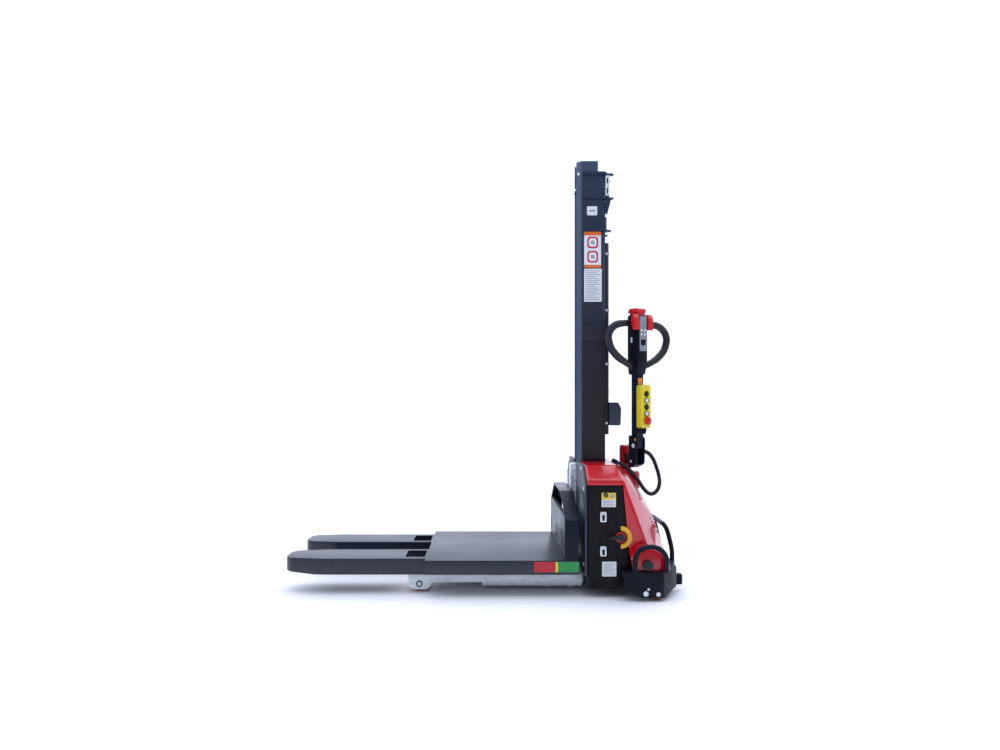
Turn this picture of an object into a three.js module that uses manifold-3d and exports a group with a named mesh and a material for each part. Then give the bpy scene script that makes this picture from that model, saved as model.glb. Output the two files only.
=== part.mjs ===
// Self-loading walkie stacker: two forks with a deck plate on a carriage that climbs a narrow
// two-stage mast, sliding straddle legs with load wheels, a battery and drive chassis under a
// hood, and a steered tiller with a loop handle and a hanging pendant control.
// Units are millimetres, +Z is up, the forks point along -X and the near side is -Y.

import * as THREE from "three";
import { mergeVertices } from "three/addons/utils/BufferGeometryUtils.js";
import Module from "manifold-3d";

const wasm = await Module();
wasm.setup();

// ---- driving dimensions ----
const GAP = 0.3; // clearance kept between pieces that touch
const SHIFT_X = -4.75; // moves the model so that its origin is at the middle of its footprint

const FORK = { tip: -840, heel: 320.7, inner: 88, outer: 285, top: 147, bottom: 80, wall: 5 };
const FORK_WHEEL_SLOT = { x0: -338, x1: -256, y0: 112, y1: 251 };
const DECK = { x0: -250, x1: 381, half: 345, top: 151.3, sheet: 4, skirtBottom: 93 };
const CARRIAGE = { x0: 321, x1: 377, plate: 8, shoulderZ: 316, topZ: 414, topHalf: 165 };
const PANEL_TOP = 330;
const LEG = { y0: 112, y1: 251, z0: 41, z1: 76, x0: -232, x1: 405, wall: 5 };
const LOAD_WHEEL = { x: -279, z: 35, radius: 35 };
const CASTER = { x: 687, z: 30, radius: 30, y: 361, width: 38, pivotX: 637, pivotZ: 32 };
const OUTER_MAST = { x0: 424.7, x1: 529, half: 67, wall: 5, z0: 97.3, z1: 1814 };
const INNER_MAST = { x0: 403, corner: 424, x1: 497, half: 58, wall: 5, slot: 33, z0: 134, z1: 1864 };
const LIFT = { x: 471, bore: 12, rod: 11.5, outer: 17 };
const FRONT_PLATE = { x0: 403, x1: 412, half: 343, bottom: 85, shoulderZ: 456, topZ: 532, topHalf: 250 };
const FLOOR = { z0: 85, z1: 97, x1: 782, half: 296 };
const BASE = { x0: 549, x1: 797, half: 410, z0: 16, z1: 116, wall: 10 };
const CABINET = { x0: 415, topX1: 556, bottomX1: 596, inner: 256, outer: 345, z0: 37, z1: 456, wall: 4 };
const STEER = { x: 646, angle: -60, turret: 47, motorTop: 310 };
const ARM = { x: 55, half: 18, pivotZ: 600, top: 915 };
const HEAD = { x0: 17, x1: 93, half: 26, z0: 915.3, z1: 1182 };
const LOOP = { x: 60, root: 50, radius: 16 };
const PENDANT = { x0: 78, x1: 115, half: 26.5, z0: 674, z1: 871 };
const CONDUIT_RADIUS = 9;

// ---- materials ----
function paint(color, roughness, metalness = 0) {
  return new THREE.MeshStandardMaterial({ color, roughness, metalness });
}

const MATERIAL = {
  blackSteel: paint(0x1d2230, 0.45, 0.3),
  mastSteel: paint(0x38373d, 0.4, 0.3),
  zinc: paint(0x9aa9b5, 0.35, 0.8),
  steel: paint(0xb4b6ba, 0.25, 0.9),
  blackPlastic: paint(0x14161c, 0.55),
  cabinetPlastic: paint(0x1a191d, 0.5),
  red: paint(0xb5121f, 0.25),
  urethane: paint(0x9c5a33, 0.6),
  rubber: paint(0x1b1b1d, 0.8),
  slate: paint(0x39424f, 0.6),
  yellow: paint(0xe3cf1c, 0.45),
  white: paint(0xe8e8e6, 0.4),
};

// ---- geometry helpers ----

// Outline from corners [a, b] or [a, b, radius]; a radius rounds that corner with an arc.
function outline(corners, arcSteps = 3) {
  const points = [];
  corners.forEach(([a, b, radius], i) => {
    const corner = new THREE.Vector2(a, b);
    if (!radius) {
      points.push(corner);
      return;
    }
    const before = corners[(i + corners.length - 1) % corners.length];
    const after = corners[(i + 1) % corners.length];
    const back = new THREE.Vector2(before[0], before[1]).sub(corner).normalize();
    const ahead = new THREE.Vector2(after[0], after[1]).sub(corner).normalize();
    const halfAngle = Math.acos(back.dot(ahead)) / 2;
    const reach = radius / Math.tan(halfAngle);
    const start = corner.clone().addScaledVector(back, reach);
    const inward = back.clone().add(ahead).normalize();
    const centre = inward.multiplyScalar(radius / Math.sin(halfAngle)).add(corner);
    const from = start.clone().sub(centre);
    const end = corner.clone().addScaledVector(ahead, reach).sub(centre);
    const turn = Math.atan2(from.cross(end), from.dot(end));
    for (let k = 0; k <= arcSteps; k += 1) {
      points.push(from.clone().rotateAround(new THREE.Vector2(), (turn * k) / arcSteps).add(centre));
    }
  });
  return new THREE.Shape(points);
}

function extrude(corners, depth) {
  return new THREE.ExtrudeGeometry(outline(corners), { depth, bevelEnabled: false });
}

// Outline in (x, y), raised from z0 to z1.
function slabXY(corners, z0, z1) {
  return extrude(corners, z1 - z0).translate(0, 0, z0);
}

// Outline in (x, z), running from y0 to y1.
function slabXZ(corners, y0, y1) {
  return extrude(corners, y1 - y0).rotateX(Math.PI / 2).translate(0, y1, 0);
}

// Outline in (y, z), running from x0 to x1.
function slabYZ(corners, x0, x1) {
  const turn = new THREE.Matrix4().makeBasis(
    new THREE.Vector3(0, 1, 0),
    new THREE.Vector3(0, 0, 1),
    new THREE.Vector3(1, 0, 0),
  );
  return extrude(corners, x1 - x0).applyMatrix4(turn).translate(x0, 0, 0);
}

function box(x0, x1, y0, y1, z0, z1) {
  return new THREE.BoxGeometry(x1 - x0, y1 - y0, z1 - z0)
    .translate((x0 + x1) / 2, (y0 + y1) / 2, (z0 + z1) / 2);
}

function rod(from, to, radius, sides = 16) {
  const start = new THREE.Vector3(...from);
  const along = new THREE.Vector3(...to).sub(start);
  const turn = new THREE.Quaternion().setFromUnitVectors(
    new THREE.Vector3(0, 1, 0),
    along.clone().normalize(),
  );
  const middle = start.clone().addScaledVector(along, 0.5);
  return new THREE.CylinderGeometry(radius, radius, along.length(), sides)
    .applyQuaternion(turn)
    .translate(middle.x, middle.y, middle.z);
}

// Tube along a smooth curve through the given points.
function tube(points, radius, steps, sides = 10) {
  const curve = new THREE.CatmullRomCurve3(points.map((p) => new THREE.Vector3(...p)));
  const ring = [];
  for (let k = 0; k < sides; k += 1) {
    const angle = (2 * Math.PI * k) / sides;
    ring.push(new THREE.Vector2(radius * Math.cos(angle), radius * Math.sin(angle)));
  }
  return new THREE.ExtrudeGeometry(new THREE.Shape(ring), { steps, extrudePath: curve });
}

// Wheel turning about Y, centred at (x, y, z), with a bore and rounded tread edges.
function wheel(x, y, z, radius, width, bore, segments = 24) {
  const half = width / 2;
  const round = Math.min(6, half / 2);
  const profile = [
    [bore, -half],
    [radius - round, -half],
    [radius - round * 0.3, -half + round * 0.3],
    [radius, -half + round],
    [radius, half - round],
    [radius - round * 0.3, half - round * 0.3],
    [radius - round, half],
    [bore, half],
    [bore, -half],
  ].map(([r, h]) => new THREE.Vector2(r, h));
  return new THREE.LatheGeometry(profile, segments).translate(x, y, z);
}

// Copy of a geometry on the other side of the XZ plane.
function mirrored(geometry) {
  const copy = geometry.clone().scale(1, -1, 1);
  const source = copy.index ? copy.toNonIndexed() : copy;
  const position = source.attributes.position;
  for (let i = 0; i < position.count; i += 3) {
    const a = new THREE.Vector3().fromBufferAttribute(position, i + 1);
    const b = new THREE.Vector3().fromBufferAttribute(position, i + 2);
    position.setXYZ(i + 1, b.x, b.y, b.z);
    position.setXYZ(i + 2, a.x, a.y, a.z);
  }
  return source;
}

function toSolid(geometry) {
  const bare = geometry.clone();
  bare.deleteAttribute("normal");
  bare.deleteAttribute("uv");
  const merged = mergeVertices(bare, 1e-4);
  const mesh = new wasm.Mesh({
    numProp: 3,
    vertProperties: new Float32Array(merged.attributes.position.array),
    triVerts: new Uint32Array(merged.index.array),
  });
  return new wasm.Manifold(mesh);
}

function toGeometry(solid) {
  const mesh = solid.getMesh();
  const geometry = new THREE.BufferGeometry();
  geometry.setAttribute("position", new THREE.BufferAttribute(new Float32Array(mesh.vertProperties), 3));
  geometry.setIndex(new THREE.BufferAttribute(new Uint32Array(mesh.triVerts), 1));
  geometry.computeVertexNormals();
  return geometry;
}

function join(...geometries) {
  return toGeometry(geometries.map(toSolid).reduce((sum, solid) => sum.add(solid)));
}

function cut(geometry, ...tools) {
  return toGeometry(tools.map(toSolid).reduce((rest, tool) => rest.subtract(tool), toSolid(geometry)));
}

function common(...geometries) {
  return toGeometry(geometries.map(toSolid).reduce((rest, solid) => rest.intersect(solid)));
}

function addPiece(group, name, geometry, material) {
  const mesh = new THREE.Mesh(geometry, material);
  mesh.name = name;
  group.add(mesh);
}

// Adds a near piece and its mirror image on the far side.
function addPair(group, name, geometry, material) {
  addPiece(group, `${name}_near`, geometry, material);
  addPiece(group, `${name}_far`, mirrored(geometry), material);
}

// ---- chassis ----

// Outline of the rear floor, grown on every side but the front.
function floorRear(front, grow) {
  const half = FLOOR.half + grow;
  const back = FLOOR.x1 + grow;
  return [
    [front, -half],
    [745, -half],
    [back, -262],
    [back, 262],
    [745, half],
    [front, half],
  ];
}

function makeChassisFrame() {
  const { x0, x1, half, bottom, shoulderZ, topZ, topHalf } = FRONT_PLATE;
  const plate = slabYZ([
    [-half, bottom],
    [half, bottom],
    [half, shoulderZ],
    [topHalf, topZ],
    [-topHalf, topZ],
    [-half, shoulderZ],
  ], x0, x1);
  const mastSlot = box(x0 - 1, x1 + 1, -72, 72, 97, topZ + 1);
  const floor = slabXY(floorRear(x0, 0), FLOOR.z0, FLOOR.z1);
  const steerHole = rod([STEER.x, 0, FLOOR.z0 - 1], [STEER.x, 0, FLOOR.z1 + 1], 116, 40);
  const nearPocket = box(x1, CABINET.bottomX1 + 2, -half - 1, -CABINET.inner + 2, 0, 200);
  const webs = [-150, 138].map((y) => box(x1 - 1, 424, y, y + 12, FLOOR.z1 - 1, 440));
  return join(cut(plate, mastSlot), cut(floor, nearPocket, mirrored(nearPocket), steerHole), ...webs);
}

function makeBaseHousing() {
  const { x0, x1, half, z0, z1, wall } = BASE;
  const plan = slabXY([
    [x0, -half, 12],
    [707, -half, 20],
    [786, -300, 20],
    [x1, -190, 10],
    [x1, 190, 10],
    [786, 300, 20],
    [707, half, 20],
    [x0, half, 12],
  ], z0, z1);
  const side = slabXZ([
    [x0, 52],
    [600, 24],
    [622, z0],
    [716, z0],
    [x1, 42],
    [x1, z1 + 1],
    [x0, z1 + 1],
  ], -half, half);
  const inside = slabXY(floorRear(x0 - 1, GAP), 0, FLOOR.z1 + GAP);
  const hoodOpening = slabXY([
    [x0 - 1, -262],
    [700, -262],
    [772, -150],
    [772, 150],
    [700, 262],
    [x0 - 1, 262],
  ], FLOOR.z1, z1 + 1);
  const nearCabinet = box(x0 - 1, CABINET.bottomX1 + GAP, -CABINET.outer - GAP, -200, 0, z1 + 1);
  const farCabinet = mirrored(nearCabinet);
  const nearWell = slabXY([
    [620, -half + wall],
    [700, -half + wall],
    [724, -372],
    [724, -FLOOR.half - 28],
    [620, -FLOOR.half - 28],
  ], 0, 92);
  const farWell = mirrored(nearWell);
  const nearBuffer = slabYZ([[-245, 30], [-215, 30], [-215, 73], [-245, 73]], x1 - 4, 822);
  const farBuffer = mirrored(nearBuffer);
  const shell = cut(common(plan, side), inside, hoodOpening, nearCabinet, farCabinet, nearWell, farWell);
  return join(shell, nearBuffer, farBuffer);
}

// Rear contour of the hood at its middle, from the roof down to the base.
const HOOD_REAR = [
  [556, 532],
  [575, 520],
  [606, 494],
  [632, 465],
  [664, 412],
  [690, 365],
  [728, 290],
  [752, 215],
  [768, 165],
  [783, FLOOR.z1 + 20],
];

// Convex hood volume, drawn in from its outer surface by an inset.
function hoodVolume(inset) {
  const front = FRONT_PLATE.x1 + GAP - (inset ? 5 : 0);
  const bottom = FLOOR.z1 + 20;
  const corners = [
    [front, 345 - inset, bottom],
    [front, 345 - inset, 478 - inset],
    [front, 250 - inset, 532 - inset],
    [545 - inset, 250 - inset, 532 - inset],
    [560 - inset, 345 - inset, 478 - inset],
    [692 - inset, 345 - inset, bottom],
    ...HOOD_REAR.map(([x, z]) => [x - inset, 130 - inset, Math.max(bottom, z - inset)]),
  ];
  return toGeometry(wasm.Manifold.hull([...corners, ...corners.map(([x, y, z]) => [x, -y, z])]));
}

// Curved red cover over one caster, with its own hollow.
function casterCover(inset) {
  const radius = 88 - inset;
  const drum = rod([656, -380 + inset, 122], [656, -240, 122], radius, 28);
  return cut(drum, box(500, 800, -420, -200, -20, FLOOR.z1 + 20 - inset));
}

function makeHood() {
  const outer = hoodVolume(0);
  const inner = hoodVolume(6);
  const cabinet = slabXZ([
    [380, CABINET.z0],
    [CABINET.bottomX1 + 1, CABINET.z0],
    [CABINET.topX1 + 1, CABINET.z1 + GAP],
    [380, CABINET.z1 + GAP],
  ], -346, -CABINET.inner + 2);
  const mastSlot = box(380, OUTER_MAST.x1 + 4, -72.6, 72.6, 90, 540);
  const turretHole = rod([STEER.x, 0, 380], [STEER.x, 0, 560], STEER.turret + 4, 32);
  const gland = rod([560, -60, 530.3], [584, -60, 524.4], 13, 16);
  const nearCover = casterCover(0);
  const body = join(outer, nearCover, mirrored(nearCover));
  const nearHollow = casterCover(6);
  const hollow = cut(body, inner, nearHollow, mirrored(nearHollow));
  const open = cut(hollow, cabinet, mirrored(cabinet), mastSlot, turretHole);
  return join(open, cut(gland, inner));
}

function makeCabinet() {
  const { x0, topX1, bottomX1, inner, outer, z0, z1, wall } = CABINET;
  const shell = slabXZ([
    [x0, z0],
    [bottomX1, z0],
    [topX1, z1],
    [x0, z1],
  ], -outer, -inner);
  const hollow = slabXZ([
    [x0 + wall, z0 + wall],
    [bottomX1 - wall - 1, z0 + wall],
    [topX1 - wall, z1 - wall],
    [x0 + wall, z1 - wall],
  ], -outer + wall, -inner + 1);
  return cut(shell, hollow);
}

function makeArchHoop() {
  const points = [[596, -398, 126.8], [596, -398, 140]];
  for (let k = 0; k <= 8; k += 1) {
    const angle = Math.PI - (Math.PI * k) / 8;
    points.push([659 + 63 * Math.cos(angle), -398, 154 + 63 * Math.sin(angle)]);
  }
  points.push([722, -398, 140], [722, -398, 126.8]);
  const nearFoot = rod([596, -398, BASE.z1 + GAP], [596, -398, 130], 10, 12);
  const farFoot = rod([722, -398, BASE.z1 + GAP], [722, -398, 130], 10, 12);
  return join(tube(points, 10, 18, 10), nearFoot, farFoot);
}

function makeRearHandle() {
  const half = 130;
  return tube([
    [808, -half, 60],
    [808, -half, 105],
    [807, -half, 150],
    [797, -half, 200],
    [786, -half + 3, 240],
    [777, -half + 16, 259],
    [775, -half + 40, 262],
    [775, 0, 262],
    [775, half - 40, 262],
    [777, half - 16, 259],
    [786, half - 3, 240],
    [797, half, 200],
    [807, half, 150],
    [808, half, 105],
    [808, half, 60],
  ], 10, 26, 10);
}

function makeLatch(z0, z1) {
  return slabXZ([[464, z0, 4], [489, z0, 4], [489, z1, 4], [464, z1, 4]], -353, -346.3);
}

function makeDisconnectKnob() {
  const hub = rod([548, -372, 246], [548, -CABINET.outer - GAP, 246], 15, 24);
  const lever = slabXZ([[505, 240, 4], [556, 236, 4], [556, 256, 4], [505, 252, 4]], -368, -354);
  return join(hub, lever);
}

// ---- mast ----

// C-shaped section of the fixed mast, open towards the forks.
function outerMastProfile(grow = 0) {
  const { x0, x1, half, wall } = OUTER_MAST;
  const out = half + grow;
  const back = x1 + grow;
  const inside = grow ? half + GAP : half - wall;
  const backInside = grow ? x1 + GAP : x1 - wall;
  return [
    [x0, -out],
    [back - 14, -out],
    [back, -out + 10],
    [back, out - 10],
    [back - 14, out],
    [x0, out],
    [x0, inside],
    [backInside - 12, inside],
    [backInside, inside - 8],
    [backInside, -inside + 8],
    [backInside - 12, -inside],
    [x0, -inside],
  ];
}

function makeOuterMast() {
  const column = slabXY(outerMastProfile(), OUTER_MAST.z0, OUTER_MAST.z1);
  const nearPad = slabXZ([[430, 541, 8], [520, 541, 8], [520, 613, 8], [430, 613, 8]], -71, -66);
  const bottom = box(430, 520, -65, 65, OUTER_MAST.z0, OUTER_MAST.z0 + 3);
  return join(column, nearPad, mirrored(nearPad), bottom);
}

// Band round the sides and back of the fixed mast, with two rounded ears to the rear.
function mastBand(z0, z1, earX) {
  const band = slabXY(outerMastProfile(5.3), z0, z1);
  const ear = slabXY([
    [530, -66],
    [earX, -64, 12],
    [earX, -38, 12],
    [530, -30],
  ], z0, z0 + 6);
  return join(band, ear, mirrored(ear));
}

function makeTopTie() {
  const plates = [mastBand(1801, 1813.7, 567), mastBand(1695, 1707, 567)];
  const web = box(OUTER_MAST.x1 + 1, 546, -60, -54, 1700, 1805);
  const gusset = slabXZ([[530, 1628], [538, 1628], [556, 1698], [530, 1698]], -60, -54);
  return join(...plates, web, mirrored(web), gusset, mirrored(gusset));
}

function makeRearCover() {
  const cover = slabXY([
    [OUTER_MAST.x1 + GAP, -42],
    [540, -42],
    [548, -34],
    [548, 34],
    [540, 42],
    [OUTER_MAST.x1 + GAP, 42],
  ], 650, 1503);
  const bandNotch = box(520, OUTER_MAST.x1 + 6, -90, 90, 1062, 1137);
  const earNotch = box(520, 575, -90, -29.5, 1063, 1071);
  return cut(cover, bandNotch, earNotch, mirrored(earNotch));
}

function makeHarnessBox() {
  return slabXZ([
    [548 + GAP, 690, 4],
    [600, 690, 6],
    [603, 765, 6],
    [590, 792, 6],
    [548 + GAP, 792, 4],
  ], -42, 42);
}

function makeLiftCylinder() {
  const { x, bore, outer } = LIFT;
  const profile = [[0, 101], [outer, 101], [outer, 1750], [bore, 1750], [bore, 110], [0, 110]];
  return new THREE.LatheGeometry(profile.map(([r, z]) => new THREE.Vector2(r, z)), 20)
    .rotateX(Math.PI / 2)
    .translate(x, 0, 0);
}

function makeInnerMast() {
  const { x0, corner, x1, half, wall, slot, z0, z1 } = INNER_MAST;
  const column = slabXY([
    [x0, -slot],
    [corner, -half],
    [x1, -half],
    [x1, half],
    [corner, half],
    [x0, slot],
    [x0 + 5, slot - 3.5],
    [corner + 2, half - wall],
    [x1 - wall, half - wall],
    [x1 - wall, -half + wall],
    [corner + 2, -half + wall],
    [x0 + 5, -slot + 3.5],
  ], z0, z1);
  const head = box(452, x1 - 1, -half + 1, half - 1, z1 - 14, z1 - 6);
  const pulleyPin = rod([438, -half + 1, 1815], [438, half - 1, 1815], 5, 16);
  return join(column, head, pulleyPin);
}

function makeChainPulley() {
  const profile = [[5.3, -8], [19, -8], [16, 0], [19, 8], [5.3, 8], [5.3, -8]];
  return new THREE.LatheGeometry(profile.map(([r, h]) => new THREE.Vector2(r, h)), 24)
    .translate(438, 0, 1815);
}

// ---- carriage and forks ----

function makeFork() {
  const { tip, heel, inner, outer, top, bottom, wall } = FORK;
  const middle = -(inner + outer) / 2;
  const half = (outer - inner) / 2;
  const blade = slabXY([
    [heel, middle - half],
    [heel, middle + half],
    [-690, middle + half, 150],
    [tip, middle + half - 24, 48],
    [tip, middle - half + 24, 48],
    [-690, middle - half, 150],
  ], bottom, top);
  const underside = slabXZ([
    [tip - 1, bottom - 1],
    [tip - 1, bottom + 10],
    [-700, bottom - 1],
  ], -outer - 1, -inner + 1);
  const channel = box(-690, heel + 1, -outer + wall, -inner - wall, bottom - 1, top - wall);
  const slot = FORK_WHEEL_SLOT;
  const wheelSlot = box(slot.x0, slot.x1, -slot.y1, -slot.y0, top - wall - 1, top + 1);
  return cut(blade, underside, channel, wheelSlot);
}

function makeDeck() {
  const { x0, x1, half, top, sheet, skirtBottom } = DECK;
  const plate = box(x0, x1, -half, half, top - sheet, top);
  const sideSkirt = box(x0, x1, -half, -half + sheet, skirtBottom, top - 1);
  const frontSkirt = box(x0, x0 + sheet, -half, -FORK.outer - GAP, skirtBottom, top - 1);
  const middleSkirt = box(x0, x0 + sheet, -FORK.inner + GAP, FORK.inner - GAP, skirtBottom + 12, top - 1);
  return join(plate, sideSkirt, mirrored(sideSkirt), frontSkirt, mirrored(frontSkirt), middleSkirt);
}

function makeCarriageSide() {
  const { x0, x1, plate, shoulderZ, topZ, topHalf } = CARRIAGE;
  const half = DECK.half;
  return slabYZ([
    [-half, DECK.top + GAP],
    [-half + plate, DECK.top + GAP],
    [-half + plate, shoulderZ - 3],
    [-topHalf - GAP, topZ - plate - 1],
    [-topHalf - GAP, topZ],
    [-half, shoulderZ, 14],
  ], x0, x1);
}

function makeCarriagePanel() {
  const { x0, plate } = CARRIAGE;
  const half = DECK.half - plate - GAP;
  return slabYZ([
    [-half, DECK.top + GAP],
    [half, DECK.top + GAP],
    [half, PANEL_TOP - 24],
    [half - 34, PANEL_TOP],
    [-half + 34, PANEL_TOP],
    [-half, PANEL_TOP - 24],
  ], x0, x0 + 5);
}

// Zinc trolley that hangs the carriage on the inner mast through its front slot.
function makeTrolley() {
  const back = box(366, 377, -70, 70, DECK.top + GAP, CARRIAGE.topZ - CARRIAGE.plate - 1 - GAP);
  const neck = slabXZ([[370, 200], [434, 200], [434, 520, 10], [377.3, 520, 14], [377.3, 380]], -24, 24);
  const lowerRollers = box(428, 450, -50, 50, 200, 262);
  const upperRollers = box(428, 450, -50, 50, 420, 482);
  const slots = [450, 424].map((z) => box(384, 400, -25, 25, z, z + 12));
  return cut(join(back, neck, lowerRollers, upperRollers), ...slots);
}

// ---- sliding legs ----

function makeLeg() {
  const { y0, y1, z0, z1, x0, x1, wall } = LEG;
  const beam = cut(
    box(x0, x1, -y1, -y0, z0, z1),
    box(x0 + 20, x1 + 1, -y1 + wall, -y0 - wall, z0 + wall, z1 - wall),
  );
  const rail = box(-18, x1, -221, -142, 20, 37);
  const spacers = [-14, 190, 380].map((x) => box(x, x + 22, -212, -151, 36, 42));
  const rollers = [260, 357].map((x) => rod([x, -214, 23], [x, -149, 23], 10, 16));
  const cheekOutline = [
    [-325, 24, 3],
    [-306, 11, 3],
    [-250, 11, 3],
    [x0 + 1, 24],
    [x0 + 1, z1],
    [-325, z1, 4],
  ];
  const cheek = slabXZ(cheekOutline, -y1, -y1 + 8);
  const innerCheek = slabXZ(cheekOutline, -y0 - 8, -y0);
  const pin = rod([LOAD_WHEEL.x, -y1 + 1, LOAD_WHEEL.z], [LOAD_WHEEL.x, -y0 - 1, LOAD_WHEEL.z], 10, 20);
  return join(beam, rail, ...spacers, ...rollers, cheek, innerCheek, pin);
}

// ---- casters and drive ----

function makeCasterArm() {
  const { x, z, y, pivotX, pivotZ } = CASTER;
  const armOutline = [
    [pivotX - 12, pivotZ - 11, 9],
    [x + 11, z - 9, 8],
    [x + 11, z + 10, 8],
    [pivotX - 12, pivotZ + 13, 9],
  ];
  const outerArm = slabXZ(armOutline, -y - 29, -y - 23);
  const innerArm = slabXZ(armOutline, -y + 23, -y + 29);
  const pivot = rod([pivotX, -y - 28, pivotZ], [pivotX, -y + 28, pivotZ], 8, 16);
  const axle = rod([x, -y - 28, z], [x, -y + 28, z], 6, 16);
  return join(outerArm, innerArm, pivot, axle);
}

// Motor, gearbox and stub axle, which turn with the steering; local to the steering axis.
function makeDriveUnit() {
  const motor = rod([0, 0, 228], [0, 0, STEER.motorTop], 52, 28);
  const plate = rod([0, 0, 213], [0, 0, 229], 82, 32);
  const gearbox = slabXZ([[-40, 80, 12], [40, 80, 12], [52, 214], [-52, 214]], 38, 60);
  const axle = rod([0, -34, 105], [0, 42, 105], 12, 20);
  return join(motor, plate, gearbox, axle);
}

// ---- steering post and tiller; local to the steering axis, x towards the operator ----

function makeTurret() {
  const collar = new THREE.LatheGeometry([
    [0, STEER.motorTop + GAP],
    [26, STEER.motorTop + GAP],
    [26, 398],
    [STEER.turret, 408],
    [STEER.turret, 472],
    [42, 484],
    [0, 484],
  ].map(([r, z]) => new THREE.Vector2(r, z)), 32).rotateX(Math.PI / 2);
  const post = slabXZ([[-43, 470], [-13, 470], [-13, 600, 10], [-43, 600, 14]], -21, 21);
  return join(collar, post);
}

function makeBracket() {
  const back = slabXZ([[24, 510, 2], [30, 500, 2], [30, 645, 2], [24, 645, 2]], -24, 24);
  const neck = box(-13 + GAP, 25, -16, 16, 520, 560);
  const cheek = slabXZ([[26, 500, 2], [76, 520, 12], [80, 640, 16], [26, 645, 2]], -24, -20);
  const floor = slabXZ([[26, 501], [60, 514], [60, 519], [26, 507]], -22, 22);
  const pin = rod([ARM.x, -22, ARM.pivotZ], [ARM.x, 22, ARM.pivotZ], 6, 20);
  return join(back, neck, cheek, mirrored(cheek), floor, pin);
}

function makeArm() {
  const { x, half, pivotZ, top } = ARM;
  const bar = slabXZ([
    [x - half, pivotZ - 16, 13],
    [x + half, pivotZ - 16, 13],
    [x + half, top],
    [x - half, top],
  ], -half, half);
  return cut(bar, rod([x, -half - 1, pivotZ], [x, half + 1, pivotZ], 6.4, 24));
}

const HEAD_BUTTON = { size: 10, pocket: 11, depth: 5, y: 10, z: [1092, 1110] };
const THROTTLE = { x: 84, z: 1150, pin: 6 };

function makeHead() {
  const { x0, x1, half, z0, z1 } = HEAD;
  const housing = slabXZ([
    [x0 + 8, z0, 6],
    [x1 - 14, z0, 10],
    [x1, z0 + 60, 20],
    [x1, z1 - 14, 12],
    [x1 - 14, z1, 8],
    [x0, z1, 10],
    [x0, z0 + 40, 20],
  ], -half, half);
  const loopSide = [
    [LOOP.root, half - 8, 1143],
    [LOOP.root, half + 14, 1144],
    [LOOP.x, 80, 1141],
    [LOOP.x, 123, 1133],
    [LOOP.x, 153, 1112],
    [LOOP.x, 167, 1085],
    [LOOP.x, 166, 1062],
    [LOOP.x, 151, 1026],
    [LOOP.x, 113, 991],
    [LOOP.x, 64, 965],
    [LOOP.root, half - 8, 947],
  ];
  const loop = tube(loopSide, LOOP.radius, 16, 10);
  const throttleBore = rod([THROTTLE.x, -half - 1, THROTTLE.z], [THROTTLE.x, half + 1, THROTTLE.z], 6.5, 16);
  const capPocket = box(x0 + 9, x1 - 9, -19.5, 19.5, z1 - 18, z1 + 1);
  const buttonPockets = [];
  HEAD_BUTTON.z.forEach((z) => [-HEAD_BUTTON.y, HEAD_BUTTON.y].forEach((y) => {
    const reach = HEAD_BUTTON.pocket / 2;
    buttonPockets.push(box(x1 - HEAD_BUTTON.depth, x1 + 1, y - reach, y + reach, z - reach, z + reach));
  }));
  return cut(join(housing, loop, mirrored(loop)), throttleBore, capPocket, ...buttonPockets);
}

function makeThrottle() {
  const { x, z, pin } = THROTTLE;
  const wing = slabXZ([
    [x - 8, z - 14, 6],
    [x + 4, z - 40, 6],
    [x + 16, z - 36, 6],
    [x + 14, z + 12, 12],
    [x + 2, z + 34, 5],
    [x - 8, z + 26, 4],
  ], -54, -HEAD.half - GAP);
  const pinRod = rod([x, -HEAD.half - 4, z], [x, HEAD.half + 4, z], pin, 16);
  return join(wing, mirrored(wing), pinRod);
}

function makeBellyButton() {
  const { x0, x1, z1 } = HEAD;
  const plunger = box(x0 + 9.5, x1 - 9.5, -19, 19, z1 - 8, z1 + 12);
  const cap = slabXZ([
    [x0 + 2, z1 + 8.3, 3],
    [x1 - 9, z1 + 8.3, 3],
    [x1 - 13, z1 + 27, 10],
    [x0 + 10, z1 + 27, 12],
  ], -25, 25);
  return join(plunger, cap);
}

function makeHeadButton(y, z) {
  const half = HEAD_BUTTON.size / 2;
  return box(HEAD.x1 - 2, HEAD.x1 + 3, y - half, y + half, z - half, z + half);
}

const PENDANT_BUTTON = { radius: 9, pocket: 9.5, depth: 6, z: [830, 801, 772, 743] };
const STOP = { z: 712, stem: 6, radius: 17.5 };

function makePendantBody() {
  const { x0, x1, half, z0, z1 } = PENDANT;
  const shell = slabYZ([
    [-half, z0 + 6, 8],
    [half, z0 + 6, 8],
    [half, z1, 12],
    [-half, z1, 12],
  ], x0, x1);
  const gland = rod([x0 + 18, 0, z0 - 26], [x0 + 18, 0, z0 + 8], 11, 16);
  const pockets = PENDANT_BUTTON.z.map((z) => rod(
    [x1 - PENDANT_BUTTON.depth, 0, z],
    [x1 + 1, 0, z],
    PENDANT_BUTTON.pocket,
    16,
  ));
  const stopBore = rod([x1 - 14, 0, STOP.z], [x1 + 1, 0, STOP.z], STOP.stem + 0.5, 16);
  return cut(join(shell, gland), ...pockets, stopBore);
}

function makePendantHolder() {
  const { x0, half, z0, z1 } = PENDANT;
  return slabYZ([
    [-half + 6, z0 + 14, 8],
    [half - 6, z0 + 14, 8],
    [half - 6, z1 - 12, 8],
    [-half + 6, z1 - 12, 8],
  ], ARM.x + ARM.half + GAP, x0 - GAP);
}

function makePendantButton(z) {
  const { x1 } = PENDANT;
  return rod([x1 - 2.5, 0, z], [x1 + 3.5, 0, z], PENDANT_BUTTON.radius, 16);
}

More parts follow.
